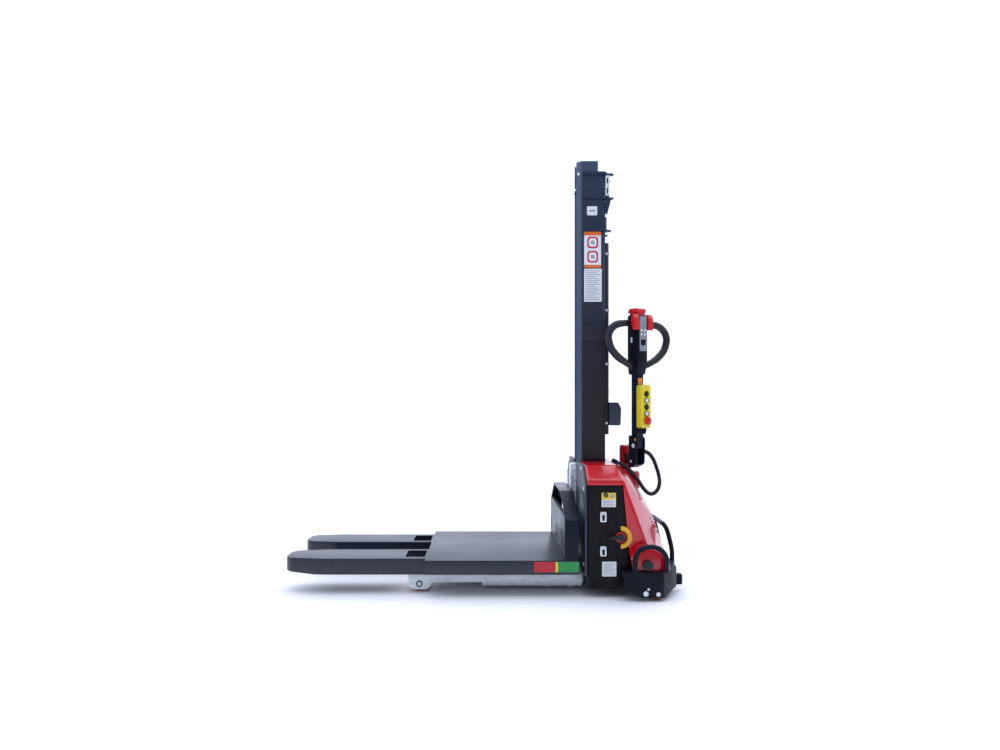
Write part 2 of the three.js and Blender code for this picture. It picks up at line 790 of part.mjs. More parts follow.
function makeEmergencyStop() {
  const { x1 } = PENDANT;
  const profile = [[0, 5.3], [14, 5.3], [STOP.radius, 8], [STOP.radius, 12], [12, 16], [0, 17]];
  const mushroom = new THREE.LatheGeometry(profile.map(([r, h]) => new THREE.Vector2(r, h)), 24)
    .rotateZ(-Math.PI / 2)
    .translate(x1, 0, STOP.z);
  return join(mushroom, rod([x1 - 8, 0, STOP.z], [x1 + 7, 0, STOP.z], STOP.stem, 16));
}

// Corrugated conduit from the tiller bracket down to the gland on the hood.
const CONDUIT_ROUTE = [
  [695.5, -34.9, 573],
  [714, -24.5, 572],
  [735, -14, 560],
  [752, -10, 537],
  [765, -10, 505],
  [775, -14, 470],
  [778, -22, 436],
  [770, -32, 408],
  [752, -42, 390],
  [733, -50, 386],
  [715, -56, 394],
  [697, -60, 413],
  [680, -63, 438],
  [662, -64, 463],
  [641, -63.5, 488],
  [619, -61, 507],
  [600, -60, 520.5],
  [584.6, -60, 524.3],
];

// ---- assembly ----

const stacker = new THREE.Group();
stacker.position.x = SHIFT_X;

const chassis = new THREE.Group();
addPiece(chassis, "chassis_frame", makeChassisFrame(), MATERIAL.slate);
addPiece(chassis, "base_housing", makeBaseHousing(), MATERIAL.blackPlastic);
addPiece(chassis, "hood", makeHood(), MATERIAL.red);
addPair(chassis, "side_cabinet", makeCabinet(), MATERIAL.cabinetPlastic);
addPair(chassis, "arch_hoop", makeArchHoop(), MATERIAL.blackSteel);
addPiece(chassis, "rear_handle", makeRearHandle(), MATERIAL.blackSteel);
addPiece(chassis, "battery", box(424, 560, 80, 245, 98, 320), MATERIAL.blackPlastic);
addPiece(chassis, "hydraulic_unit", box(430, 555, -245, -80, 98, 300), MATERIAL.steel);
addPiece(chassis, "mast_outer", makeOuterMast(), MATERIAL.mastSteel);
addPiece(chassis, "mast_tie_top", makeTopTie(), MATERIAL.blackSteel);
addPiece(chassis, "mast_tie_upper", mastBand(1551, 1614, 556), MATERIAL.blackSteel);
addPiece(chassis, "mast_tie_middle", mastBand(1064, 1135, 553), MATERIAL.blackSteel);
addPiece(chassis, "mast_rear_cover", makeRearCover(), MATERIAL.mastSteel);
addPiece(chassis, "harness_box", makeHarnessBox(), MATERIAL.slate);
addPiece(chassis, "lift_cylinder", makeLiftCylinder(), MATERIAL.steel);
stacker.add(chassis);

addPiece(stacker, "latch_upper", makeLatch(309, 350), MATERIAL.zinc);
addPiece(stacker, "latch_lower", makeLatch(170, 210), MATERIAL.zinc);
addPiece(stacker, "disconnect_knob", makeDisconnectKnob(), MATERIAL.blackPlastic);
const keyLock = rod([487, -352, 418], [487, -345.3, 418], 9, 20);
addPiece(stacker, "key_lock", keyLock, MATERIAL.blackPlastic);

const innerMast = new THREE.Group();
addPiece(innerMast, "mast_inner", makeInnerMast(), MATERIAL.mastSteel);
const liftRod = rod([LIFT.x, 0, 900], [LIFT.x, 0, INNER_MAST.z1 - 14 - GAP], LIFT.rod, 20);
addPiece(innerMast, "lift_rod", liftRod, MATERIAL.steel);
addPiece(innerMast, "chain_pulley", makeChainPulley(), MATERIAL.steel);
stacker.add(innerMast);

const carriage = new THREE.Group();
addPair(carriage, "fork", makeFork(), MATERIAL.blackSteel);
addPiece(carriage, "deck_plate", makeDeck(), MATERIAL.blackSteel);
addPair(carriage, "carriage_side", makeCarriageSide(), MATERIAL.blackSteel);
addPiece(carriage, "carriage_top_bar", box(
  CARRIAGE.x0,
  CARRIAGE.x1,
  -CARRIAGE.topHalf,
  CARRIAGE.topHalf,
  CARRIAGE.topZ - CARRIAGE.plate,
  CARRIAGE.topZ,
), MATERIAL.blackSteel);
addPiece(carriage, "carriage_panel", makeCarriagePanel(), MATERIAL.blackSteel);
addPiece(carriage, "trolley", makeTrolley(), MATERIAL.zinc);
stacker.add(carriage);

const runningGear = new THREE.Group();
addPair(runningGear, "leg", makeLeg(), MATERIAL.zinc);
const loadWheel = wheel(LOAD_WHEEL.x, -(LEG.y0 + LEG.y1) / 2, LOAD_WHEEL.z, LOAD_WHEEL.radius, 120, 10.4);
addPair(runningGear, "load_wheel", loadWheel, MATERIAL.urethane);
addPair(runningGear, "caster_arm", makeCasterArm(), MATERIAL.steel);
const casterWheel = wheel(CASTER.x, -CASTER.y, CASTER.z, CASTER.radius, CASTER.width, 6.4, 20);
addPair(runningGear, "caster_wheel", casterWheel, MATERIAL.urethane);
stacker.add(runningGear);

const steerHead = new THREE.Group();
steerHead.position.x = STEER.x;
steerHead.rotation.z = THREE.MathUtils.degToRad(STEER.angle);
addPiece(steerHead, "steer_turret", makeTurret(), MATERIAL.red);
addPiece(steerHead, "tiller_bracket", makeBracket(), MATERIAL.blackSteel);
addPiece(steerHead, "drive_unit", makeDriveUnit(), MATERIAL.steel);
addPiece(steerHead, "drive_wheel", wheel(0, 0, 105, 105, 66, 12.4, 32), MATERIAL.rubber);

const tiller = new THREE.Group();
addPiece(tiller, "tiller_arm", makeArm(), MATERIAL.blackSteel);
addPiece(tiller, "tiller_head", makeHead(), MATERIAL.blackPlastic);
addPiece(tiller, "throttle", makeThrottle(), MATERIAL.red);
addPiece(tiller, "belly_button", makeBellyButton(), MATERIAL.red);
HEAD_BUTTON.z.forEach((z, row) => {
  addPiece(tiller, `head_button_${row + 1}_left`, makeHeadButton(-HEAD_BUTTON.y, z), MATERIAL.white);
  addPiece(tiller, `head_button_${row + 1}_right`, makeHeadButton(HEAD_BUTTON.y, z), MATERIAL.white);
});
addPiece(tiller, "pendant_holder", makePendantHolder(), MATERIAL.blackPlastic);
addPiece(tiller, "pendant_body", makePendantBody(), MATERIAL.yellow);
PENDANT_BUTTON.z.forEach((z, row) => {
  const colour = row % 2 ? MATERIAL.white : MATERIAL.blackPlastic;
  addPiece(tiller, `pendant_button_${row + 1}`, makePendantButton(z), colour);
});
addPiece(tiller, "emergency_stop", makeEmergencyStop(), MATERIAL.red);
steerHead.add(tiller);
stacker.add(steerHead);

addPiece(stacker, "conduit", tube(CONDUIT_ROUTE, CONDUIT_RADIUS, 34, 10), MATERIAL.rubber);

export default stacker;
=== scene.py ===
"""Self-loading walkie stacker: looks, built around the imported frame.

Places are in metres in the frame's own axes: +Z up, forks towards -X, near side -Y.
"""
import math

import bmesh
import bpy
from mathutils import Matrix, Vector


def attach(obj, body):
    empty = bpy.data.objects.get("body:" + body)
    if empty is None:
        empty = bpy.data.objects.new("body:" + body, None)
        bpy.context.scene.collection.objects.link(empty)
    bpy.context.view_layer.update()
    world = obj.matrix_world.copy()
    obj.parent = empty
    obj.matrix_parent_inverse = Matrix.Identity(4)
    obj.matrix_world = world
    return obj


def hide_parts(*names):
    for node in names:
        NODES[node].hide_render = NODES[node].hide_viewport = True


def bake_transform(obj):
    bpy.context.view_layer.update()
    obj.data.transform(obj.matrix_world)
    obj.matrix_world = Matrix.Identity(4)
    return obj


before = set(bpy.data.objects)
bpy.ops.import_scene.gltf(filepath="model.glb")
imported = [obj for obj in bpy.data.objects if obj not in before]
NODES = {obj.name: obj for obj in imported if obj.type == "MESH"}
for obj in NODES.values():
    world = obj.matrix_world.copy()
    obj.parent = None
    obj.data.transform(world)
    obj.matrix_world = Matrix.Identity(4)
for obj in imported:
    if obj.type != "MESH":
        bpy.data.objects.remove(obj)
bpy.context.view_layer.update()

MM = 0.001
SHIFT = -0.00475  # the frame's X of a place whose drawing X is zero
STEER_X = 0.646 + SHIFT
STEER_TURN = math.radians(-60)

# ---------------------------------------------------------------- scene


def make_camera():
    data = bpy.data.cameras.new("camera")
    data.lens = 27.86
    data.sensor_width = 36
    data.shift_x = 0.014
    data.shift_y = 0.022
    camera = bpy.data.objects.new("camera", data)
    camera.location = (SHIFT, -3.491, 0.8165)
    camera.rotation_euler = (math.radians(90), 0, 0)
    bpy.context.scene.collection.objects.link(camera)
    bpy.context.scene.camera = camera


def make_area_light(name, place, target, size, power, colour=(1, 1, 1)):
    data = bpy.data.lights.new(name, "AREA")
    data.shape = "RECTANGLE"
    data.size, data.size_y = size
    data.energy = power
    data.color = colour
    light = bpy.data.objects.new(name, data)
    light.location = place
    aim = Vector(target) - Vector(place)
    light.rotation_euler = aim.to_track_quat("-Z", "Y").to_euler()
    bpy.context.scene.collection.objects.link(light)


def make_sky():
    """White surroundings that are brightest behind and above the machine, and dimmer in front of it."""
    world = bpy.data.worlds.new("studio")
    world.use_nodes = True
    nodes, links = world.node_tree.nodes, world.node_tree.links
    background = nodes["Background"]
    background.inputs["Color"].default_value = (0.88, 0.94, 1.14, 1)
    place = nodes.new("ShaderNodeTexCoord")
    parts = nodes.new("ShaderNodeSeparateXYZ")
    links.new(place.outputs["Generated"], parts.inputs["Vector"])
    behind = add_range(nodes, links, parts.outputs["Y"], 0.30, 1.18, -0.5, 0.45)
    above = add_range(nodes, links, parts.outputs["Z"], 0.0, 0.9, 0.3, 1.0)
    total = nodes.new("ShaderNodeMath")
    links.new(behind, total.inputs[0])
    links.new(above, total.inputs[1])
    links.new(total.outputs[0], background.inputs["Strength"])
    bpy.context.scene.world = world


def make_studio():
    make_sky()
    bpy.context.scene.view_settings.view_transform = "Standard"
    make_area_light("overhead", (0.2, -0.6, 4.2), (0.1, 0, 0.4), (4.0, 3.0), 34)
    make_area_light("left_front", (-3.6, -2.2, 2.2), (0.2, 0, 0.7), (2.4, 2.2), 30, (0.78, 0.87, 1.0))
    make_area_light("right_rear", (3.4, 1.2, 2.6), (0.5, 0, 0.8), (1.8, 2.4), 18, (0.95, 0.96, 1.0))
    bpy.ops.mesh.primitive_grid_add(x_subdivisions=2, y_subdivisions=2, size=60)
    floor = bpy.context.object
    floor.name = "floor"
    floor.data.materials.append(plain_floor())


# ---------------------------------------------------------------- materials


def new_material(name):
    material = bpy.data.materials.new(name)
    material.use_nodes = True
    nodes = material.node_tree.nodes
    return material, nodes, material.node_tree.links, nodes["Principled BSDF"]


def plain_floor():
    material, _, _, shader = new_material("floor_pale")
    shader.inputs["Base Color"].default_value = (0.92, 0.92, 0.93, 1)
    shader.inputs["Roughness"].default_value = 0.55
    return material


def add_noise(nodes, links, scale, detail=4.0, stretch=(1, 1, 1)):
    place = nodes.new("ShaderNodeTexCoord")
    spread = nodes.new("ShaderNodeMapping")
    spread.inputs["Scale"].default_value = stretch
    noise = nodes.new("ShaderNodeTexNoise")
    noise.inputs["Scale"].default_value = scale
    noise.inputs["Detail"].default_value = detail
    links.new(place.outputs["Object"], spread.inputs["Vector"])
    links.new(spread.outputs["Vector"], noise.inputs["Vector"])
    return noise.outputs["Fac"]


def add_range(nodes, links, value, low, high, from_low=0.3, from_high=0.7):
    remap = nodes.new("ShaderNodeMapRange")
    remap.inputs["From Min"].default_value = from_low
    remap.inputs["From Max"].default_value = from_high
    remap.inputs["To Min"].default_value = low
    remap.inputs["To Max"].default_value = high
    links.new(value, remap.inputs["Value"])
    return remap.outputs["Result"]


def add_mix(nodes, links, factor, first, second):
    mix = nodes.new("ShaderNodeMix")
    mix.data_type = "RGBA"
    links.new(factor, mix.inputs["Factor"])
    for socket, colour in ((mix.inputs[6], first), (mix.inputs[7], second)):
        if isinstance(colour, tuple):
            socket.default_value = (*colour, 1)
        else:
            links.new(colour, socket)
    return mix.outputs[2]


def finish_material(
    name,
    colour,
    roughness,
    metallic=0.0,
    grain=600.0,
    bump=0.08,
    variation=0.25,
    cloud=9.0,
    coat=0.0,
    shine=0.5,
    stretch=(1, 1, 1),
    painted_sky_sheen=None,
):
    """Paint, plastic or metal: cloudy colour, uneven gloss and fine grain; an optional colour high up is a
    painted sky reflection.
    """
    material, nodes, links, shader = new_material(name)
    darker = tuple(c * (1 - variation) for c in colour)
    lighter = tuple(min(1, c * (1 + variation)) for c in colour)
    clouds = add_noise(nodes, links, cloud, 5.0, stretch)
    tone = add_mix(nodes, links, add_range(nodes, links, clouds, 0, 1), darker, lighter)
    # Painted sky reflection: from 0.8 m to 1.8 m up the colour blends into the given sky tint.
    if painted_sky_sheen:
        place = nodes.new("ShaderNodeTexCoord")
        parts = nodes.new("ShaderNodeSeparateXYZ")
        links.new(place.outputs["Object"], parts.inputs["Vector"])
        height = add_range(nodes, links, parts.outputs["Z"], 0, 1, 0.8, 1.8)
        tone = add_mix(nodes, links, height, tone, painted_sky_sheen)
    links.new(tone, shader.inputs["Base Color"])
    shader.inputs["Metallic"].default_value = metallic
    shader.inputs["Specular IOR Level"].default_value = shine
    shader.inputs["Coat Weight"].default_value = coat
    shader.inputs["Coat Roughness"].default_value = 0.06
    fine = add_noise(nodes, links, grain, 2.0, stretch)
    gloss = add_range(nodes, links, clouds, roughness * 0.82, min(1, roughness * 1.2))
    links.new(gloss, shader.inputs["Roughness"])
    relief = nodes.new("ShaderNodeBump")
    relief.inputs["Strength"].default_value = bump
    relief.inputs["Distance"].default_value = 0.0006
    links.new(fine, relief.inputs["Height"])
    links.new(relief.outputs["Normal"], shader.inputs["Normal"])
    return material


def zinc_material():
    """Zinc plate: cool bright metal with a faint crystal pattern and dull patches."""
    material, nodes, links, shader = new_material("zinc")
    place = nodes.new("ShaderNodeTexCoord")
    crystal = nodes.new("ShaderNodeTexVoronoi")
    crystal.inputs["Scale"].default_value = 85
    links.new(place.outputs["Object"], crystal.inputs["Vector"])
    patches = add_noise(nodes, links, 14, 6.0, (1, 1, 3))
    flake = add_range(nodes, links, crystal.outputs["Distance"], 0, 1, 0.1, 0.7)
    tone = add_mix(nodes, links, flake, (0.66, 0.71, 0.75), (0.78, 0.82, 0.85))
    dull = add_range(nodes, links, patches, 0, 0.6, 0.5, 0.72)
    links.new(add_mix(nodes, links, dull, tone, (0.56, 0.60, 0.63)), shader.inputs["Base Color"])
    shader.inputs["Metallic"].default_value = 0.25
    links.new(add_range(nodes, links, patches, 0.24, 0.48), shader.inputs["Roughness"])
    relief = nodes.new("ShaderNodeBump")
    relief.inputs["Strength"].default_value = 0.05
    relief.inputs["Distance"].default_value = 0.0005
    links.new(crystal.outputs["Distance"], relief.inputs["Height"])
    links.new(relief.outputs["Normal"], shader.inputs["Normal"])
    return material


MATERIALS = {
    "black_steel": finish_material(
        "black_steel", (0.005, 0.008, 0.018), 0.36,
        metallic=0.0, grain=900, bump=0.15, variation=0.2, cloud=7, coat=0.0, shine=0.16,
    ),
    "deck_paint": finish_material(
        "deck_paint", (0.005, 0.009, 0.024), 0.30,
        metallic=0.0, grain=900, bump=0.06, variation=0.2, cloud=4, coat=0.0, shine=0.55,
    ),
    # Mast paint is dark brownish; its bluer colour from 0.8 m up is a painted sky reflection.
    "mast_paint": finish_material(
        "mast_paint", (0.024, 0.020, 0.025), 0.38,
        metallic=0.0, grain=900, bump=0.1, variation=0.12, cloud=5, coat=0.0, shine=0.2,
        stretch=(1, 1, 0.3), painted_sky_sheen=(0.022, 0.034, 0.066),
    ),
    # The inner mast's bluer copy of the mast paint is a painted sky reflection on its front face.
    "inner_mast_sky_tinted_paint": finish_material(
        "inner_mast_sky_tinted_paint", (0.034, 0.055, 0.105), 0.28,
        metallic=0.2, grain=900, bump=0.1, variation=0.12, cloud=5, coat=0.1, shine=0.5,
        stretch=(1, 1, 0.3),
    ),
    "slate_paint": finish_material(
        "slate_paint", (0.020, 0.030, 0.050), 0.4,
        metallic=0.0, grain=700, bump=0.12, variation=0.18, cloud=8, coat=0.0, shine=0.4,
    ),
    "bare_steel": finish_material(
        "bare_steel", (0.55, 0.56, 0.58), 0.30,
        metallic=0.95, grain=500, bump=0.1, variation=0.12, cloud=20,
    ),
    "red_hood": finish_material(
        "red_hood", (0.50, 0.003, 0.012), 0.22,
        metallic=0.0, grain=260, bump=0.03, variation=0.08, cloud=3, coat=0.5, shine=0.4,
    ),
    "red_paint": finish_material(
        "red_paint", (0.50, 0.006, 0.012), 0.26,
        metallic=0.0, grain=400, bump=0.06, variation=0.12, cloud=8, coat=0.3, shine=0.4,
    ),
    "red_plastic": finish_material(
        "red_plastic", (0.58, 0.010, 0.012), 0.34,
        metallic=0.0, grain=900, bump=0.1, variation=0.1, cloud=20, coat=0.0, shine=0.4,
    ),
    "black_plastic": finish_material(
        "black_plastic", (0.004, 0.006, 0.012), 0.42,
        metallic=0.0, grain=1500, bump=0.2, variation=0.2, cloud=12, coat=0.0, shine=0.14,
    ),
    "cabinet_plastic": finish_material(
        "cabinet_plastic", (0.006, 0.005, 0.008), 0.44,
        metallic=0.0, grain=1600, bump=0.2, variation=0.2, cloud=6, coat=0.0, shine=0.15,
    ),
    "soft_grip": finish_material(
        "soft_grip", (0.008, 0.009, 0.012), 0.5,
        metallic=0.0, grain=1800, bump=0.4, variation=0.2, cloud=25, coat=0.0, shine=0.4,
    ),
    "urethane": finish_material(
        "urethane", (0.30, 0.105, 0.035), 0.42,
        metallic=0.0, grain=500, bump=0.2, variation=0.3, cloud=30,
    ),
    "tyre": finish_material(
        "tyre", (0.02, 0.02, 0.021), 0.7,
        metallic=0.0, grain=500, bump=0.4, variation=0.25, cloud=30,
    ),
    "conduit": finish_material(
        "conduit", (0.006, 0.006, 0.009), 0.42,
        metallic=0.0, grain=900, bump=0.15, variation=0.2, cloud=40, coat=0.0, shine=0.45,
    ),
    "yellow_plastic": finish_material(
        "yellow_plastic", (0.74, 0.60, 0.012), 0.34,
        metallic=0.0, grain=1300, bump=0.2, variation=0.1, cloud=18,
    ),
    "amber_plastic": finish_material(
        "amber_plastic", (0.80, 0.40, 0.010), 0.36,
        metallic=0.0, grain=1200, bump=0.15, variation=0.1, cloud=25,
    ),
    "orange_plastic": finish_material(
        "orange_plastic", (0.83, 0.27, 0.015), 0.36,
        metallic=0.0, grain=1200, bump=0.2, variation=0.1, cloud=25,
    ),
    "white_plastic": finish_material(
        "white_plastic", (0.72, 0.72, 0.71), 0.35,
        metallic=0.0, grain=900, bump=0.1, variation=0.06, cloud=25,
    ),
    "grey_plastic": finish_material(
        "grey_plastic", (0.24, 0.26, 0.29), 0.4,
        metallic=0.0, grain=900, bump=0.15, variation=0.12, cloud=25,
    ),
    "label_white": finish_material(
        "label_white", (0.70, 0.73, 0.76), 0.38,
        metallic=0.0, grain=300, bump=0.04, variation=0.05, cloud=12,
    ),
    "label_grey": finish_material(
        "label_grey", (0.30, 0.31, 0.33), 0.45,
        metallic=0.0, grain=300, bump=0.04, variation=0.1, cloud=12,
    ),
    "label_red": finish_material(
        "label_red", (0.48, 0.012, 0.020), 0.38,
        metallic=0.0, grain=300, bump=0.04, variation=0.1, cloud=12,
    ),
    "label_green": finish_material(
        "label_green", (0.012, 0.25, 0.055), 0.38,
        metallic=0.0, grain=300, bump=0.04, variation=0.1, cloud=12,
    ),
    "label_orange": finish_material(
        "label_orange", (0.70, 0.14, 0.02), 0.38,
        metallic=0.0, grain=300, bump=0.04, variation=0.1, cloud=12,
    ),
    "label_yellow": finish_material(
        "label_yellow", (0.78, 0.58, 0.03), 0.38,
        metallic=0.0, grain=300, bump=0.04, variation=0.1, cloud=12,
    ),
    "zinc": zinc_material(),
}

# ---------------------------------------------------------------- mesh helpers


def object_from(name, mesh):
    obj = bpy.data.objects.new(name, mesh)
    bpy.context.scene.collection.objects.link(obj)
    return obj


def object_from_bmesh(name, bm):
    bmesh.ops.recalc_face_normals(bm, faces=bm.faces)
    mesh = bpy.data.meshes.new(name)
    bm.to_mesh(mesh)
    bm.free()
    return object_from(name, mesh)


def apply_modifiers(obj):
    """Keeps what the modifiers make, and leaves none on the piece."""
    graph = bpy.context.evaluated_depsgraph_get()
    result = bpy.data.meshes.new_from_object(obj.evaluated_get(graph))
    old = obj.data
    obj.modifiers.clear()
    obj.data = result
    bpy.data.meshes.remove(old)


def smooth(obj, angle=32):
    for face in obj.data.polygons:
        face.use_smooth = True
    obj.data.set_sharp_from_angle(angle=math.radians(angle))


def bevel(obj, width, segments=3, angle=28):
    modifier = obj.modifiers.new("edges", "BEVEL")
    modifier.width = width
    modifier.segments = segments
    modifier.limit_method = "ANGLE"
    modifier.angle_limit = math.radians(angle)
    modifier.harden_normals = False
    apply_modifiers(obj)


def cut(obj, *cutters):
    for cutter in cutters:
        modifier = obj.modifiers.new("cut", "BOOLEAN")
        modifier.operation = "DIFFERENCE"
        modifier.solver = "EXACT"
        modifier.object = cutter
        apply_modifiers(obj)
    for cutter in cutters:
        bpy.data.objects.remove(cutter)


def join_into(obj, *others):
    """Adds the others' faces to obj, keeping each one's material."""
    bm = bmesh.new()
    bm.from_mesh(obj.data)
    for other in others:
        slots = {}
        for i, material in enumerate(other.data.materials):
            if material.name not in obj.data.materials:
                obj.data.materials.append(material)
            slots[i] = obj.data.materials.find(material.name)
        start = len(bm.faces)
        bm.from_mesh(other.data)
        bm.faces.ensure_lookup_table()
        for face in bm.faces[start:]:
            face.material_index = slots.get(face.material_index, 0)
    bm.to_mesh(obj.data)
    bm.free()
    for other in others:
        bpy.data.objects.remove(other)
    return obj


def dress(obj, material, angle=32):
    obj.data.materials.clear()
    obj.data.materials.append(MATERIALS[material])
    smooth(obj, angle)
    return obj


def settle(obj, body, slot, *replaced):
    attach(obj, body)
    if replaced:
        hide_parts(*replaced)
    return obj


def rounded(corners, steps=6):
    """Outline from (a, b) or (a, b, radius) corners; a radius rounds that corner with an arc."""
    points = []
    for i, corner in enumerate(corners):
        here = Vector(corner[:2])
        if len(corner) < 3 or not corner[2]:
            points.append(tuple(here))
            continue
        back = (Vector(corners[i - 1][:2]) - here).normalized()
        ahead = (Vector(corners[(i + 1) % len(corners)][:2]) - here).normalized()
        half_angle = back.angle(ahead) / 2
        start = here + back * (corner[2] / math.tan(half_angle))
        end = here + ahead * (corner[2] / math.tan(half_angle))
        centre = here + (back + ahead).normalized() * (corner[2] / math.sin(half_angle))
        first, last = start - centre, end - centre
        turn = math.atan2(first.x * last.y - first.y * last.x, first.dot(last))
        for k in range(steps + 1):
            arm = first.copy()
            arm.rotate(Matrix.Rotation(turn * k / steps, 2))
            points.append(tuple(centre + arm))
    return points


def rounded_box(x0, x1, z0, z1, radius):
    return [(x0, z0, radius), (x1, z0, radius), (x1, z1, radius), (x0, z1, radius)]


AXIS_PLACE = {
    "x": lambda a, b, d: (d + SHIFT * 1000, a, b),
    "y": lambda a, b, d: (a + SHIFT * 1000, d, b),
    "z": lambda a, b, d: (a + SHIFT * 1000, b, d),
}


def prism(name, corners, axis, low, high, steps=6):
    """Outline in the two other axes, in mm of the drawing, run along an axis from low to high."""
    place = AXIS_PLACE[axis]
    outline = rounded(corners, steps)
    bm = bmesh.new()
    rings = []
    for depth in (low, high):
        rings.append([bm.verts.new(Vector(place(a, b, depth)) * MM) for a, b in outline])
    bm.faces.new(rings[0])
    bm.faces.new(rings[1])
    for i in range(len(outline)):
        j = (i + 1) % len(outline)
        bm.faces.new((rings[0][i], rings[0][j], rings[1][j], rings[1][i]))
    return object_from_bmesh(name, bm)


def block(name, x0, x1, y0, y1, z0, z1):
    return prism(name, [(x0, y0), (x1, y0), (x1, y1), (x0, y1)], "z", z0, z1)


def turned(name, profile, start, end, segments=48):
    """Round piece: profile of (radius, distance) in mm, on the line from start towards end."""
    start = Vector((start[0] + SHIFT * 1000, *start[1:])) * MM
    end = Vector((end[0] + SHIFT * 1000, *end[1:])) * MM
    turn = (end - start).to_track_quat("Z", "Y").to_matrix().to_4x4()
    place = Matrix.Translation(start) @ turn
    bm = bmesh.new()
    rings = []
    for radius, along in profile:
        if radius == 0:
            rings.append([bm.verts.new(place @ Vector((0, 0, along * MM)))])
            continue
        ring = []
        for k in range(segments):
            angle = 2 * math.pi * k / segments
            point = Vector((radius * math.cos(angle), radius * math.sin(angle), along)) * MM
            ring.append(bm.verts.new(place @ point))
        rings.append(ring)
    closed = profile[0] == profile[-1]
    if closed:
        for vert in rings.pop():
            bm.verts.remove(vert)
    for row in range(len(rings) if closed else len(rings) - 1):
        first, second = rings[row], rings[(row + 1) % len(rings)]
        for k in range(segments):
            m = (k + 1) % segments
            corner = [ring[i % len(ring)] for ring, i in ((first, k), (first, m), (second, m), (second, k))]
            unique = list(dict.fromkeys(corner))
            if len(unique) > 2:
                bm.faces.new(unique)
    for ring in (rings[0], rings[-1]):
        if not closed and len(ring) > 1:
            bm.faces.new(ring)
    return object_from_bmesh(name, bm)


def spline(points, count):
    """Smooth, evenly spaced places along a Catmull-Rom curve through points."""
    knots = [Vector(p) for p in points]
    ends = [2 * knots[0] - knots[1], *knots, 2 * knots[-1] - knots[-2]]
    fine = []
    for i in range(1, len(ends) - 2):
        a, b, c, d = ends[i - 1:i + 3]
        for k in range(24):
            t = k / 24
            bend = (2 * a - 5 * b + 4 * c - d) * t * t + (3 * b - a - 3 * c + d) * t ** 3
            fine.append(0.5 * (2 * b + (c - a) * t + bend))
    fine.append(knots[-1])
    reach = [0.0]
    for a, b in zip(fine, fine[1:]):
        reach.append(reach[-1] + (b - a).length)
    result, i = [], 0
    for k in range(count + 1):
        target = reach[-1] * k / count
        while i < len(fine) - 2 and reach[i + 1] < target:
            i += 1
        span = reach[i + 1] - reach[i]
        result.append(fine[i].lerp(fine[i + 1], (target - reach[i]) / span if span else 0))
    return result, reach[-1]


def sweep(name, points, radius, count, sides=20):
    """Tube through places given in metres; radius is a number or a function of the way along."""
    line, _ = spline(points, count)
    bm = bmesh.new()
    rings = []
    side = None
    for i, here in enumerate(line):
        ahead = line[min(i + 1, count)] - line[max(i - 1, 0)]
        ahead.normalize()
        if side is None:
            side = ahead.orthogonal().normalized()
        side = (side - ahead * side.dot(ahead)).normalized()
        up = ahead.cross(side)
        size = radius(i / count) if callable(radius) else radius
        rings.append([
            bm.verts.new(here + size * (math.cos(a) * side + math.sin(a) * up))
            for a in (2 * math.pi * k / sides for k in range(sides))
        ])
    for first, second in zip(rings, rings[1:]):
        for k in range(sides):
            m = (k + 1) % sides
            bm.faces.new((first[k], first[m], second[m], second[k]))
    bm.faces.new(rings[0])
    bm.faces.new(rings[-1])
    return object_from_bmesh(name, bm)


def in_frame(points):
    return [((x + SHIFT * 1000) * MM, y * MM, z * MM) for x, y, z in points]


def refined(node, material, width=1.5, segments=3, name=None):
    """Copy of a CAD node with clean faces and rounded edges, which stands for it."""
    copy = object_from(name or node + "_fine", NODES[node].data.copy())
    bm = bmesh.new()
    bm.from_mesh(copy.data)
    bmesh.ops.remove_doubles(bm, verts=bm.verts, dist=1e-5)
    bmesh.ops.dissolve_limit(bm, angle_limit=math.radians(0.6), verts=bm.verts, edges=bm.edges)
    bm.to_mesh(copy.data)
    bm.free()
    copy.parent = None
    bevel(copy, width * MM, segments)
    return dress(copy, material)


def stand_for(node, body, slot, material, width=1.5, segments=3):
    return settle(refined(node, material, width, segments), body, slot, node)


def bolt(start, end, radius=7, height=5, washer=True, material="zinc"):
    """Hexagon bolt head on its washer, pointing from start towards end."""
    head = turned("bolt", [
        (radius * 0.9, 0.8),
        (radius, 1.4),
        (radius, height - 1),
        (radius * 0.86, height),
        (0, height),
    ], start, end, 6)
    if washer:
        ring = turned("washer", [
            (0, 0),
            (radius * 1.45, 0),
            (radius * 1.5, 0.5),
            (radius * 1.45, 1.2),
            (0, 1.2),
        ], start, end, 28)
        dress(ring, material)
        dress(head, material)
        join_into(head, ring)
    return dress(head, material)

# ---------------------------------------------------------------- conduit

CONDUIT_ROUTE = in_frame([
    (695.5, -34.9, 573),
    (714, -24.5, 572),
    (735, -14, 560),
    (752, -10, 537),
    (765, -10, 505),
    (775, -14, 470),
    (778, -22, 436),
    (770, -32, 408),
    (752, -42, 390),
    (733, -50, 386),
    (715, -56, 394),
    (697, -60, 413),
    (680, -63, 438),
    (662, -64, 463),
    (641, -63.5, 488),
    (619, -61, 507),
    (600, -60, 520.5),
    (584.6, -60, 524.3),
])
CONDUIT_DIAMETER = 0.018
CONDUIT_RIBS = 106


def make_conduit():
    def ribbed(along):
        wave = 0.5 - 0.5 * math.cos(2 * math.pi * CONDUIT_RIBS * along)
        return CONDUIT_DIAMETER / 2 - 0.0016 * (1 - wave) ** 2

    conduit = sweep("conduit_ribbed", CONDUIT_ROUTE, ribbed, CONDUIT_RIBS * 6, 20)
    dress(conduit, "conduit", 60)
    path, _ = spline(CONDUIT_ROUTE, 120)
    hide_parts("conduit")
    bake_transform(conduit)


# ---------------------------------------------------------------- forks and carriage


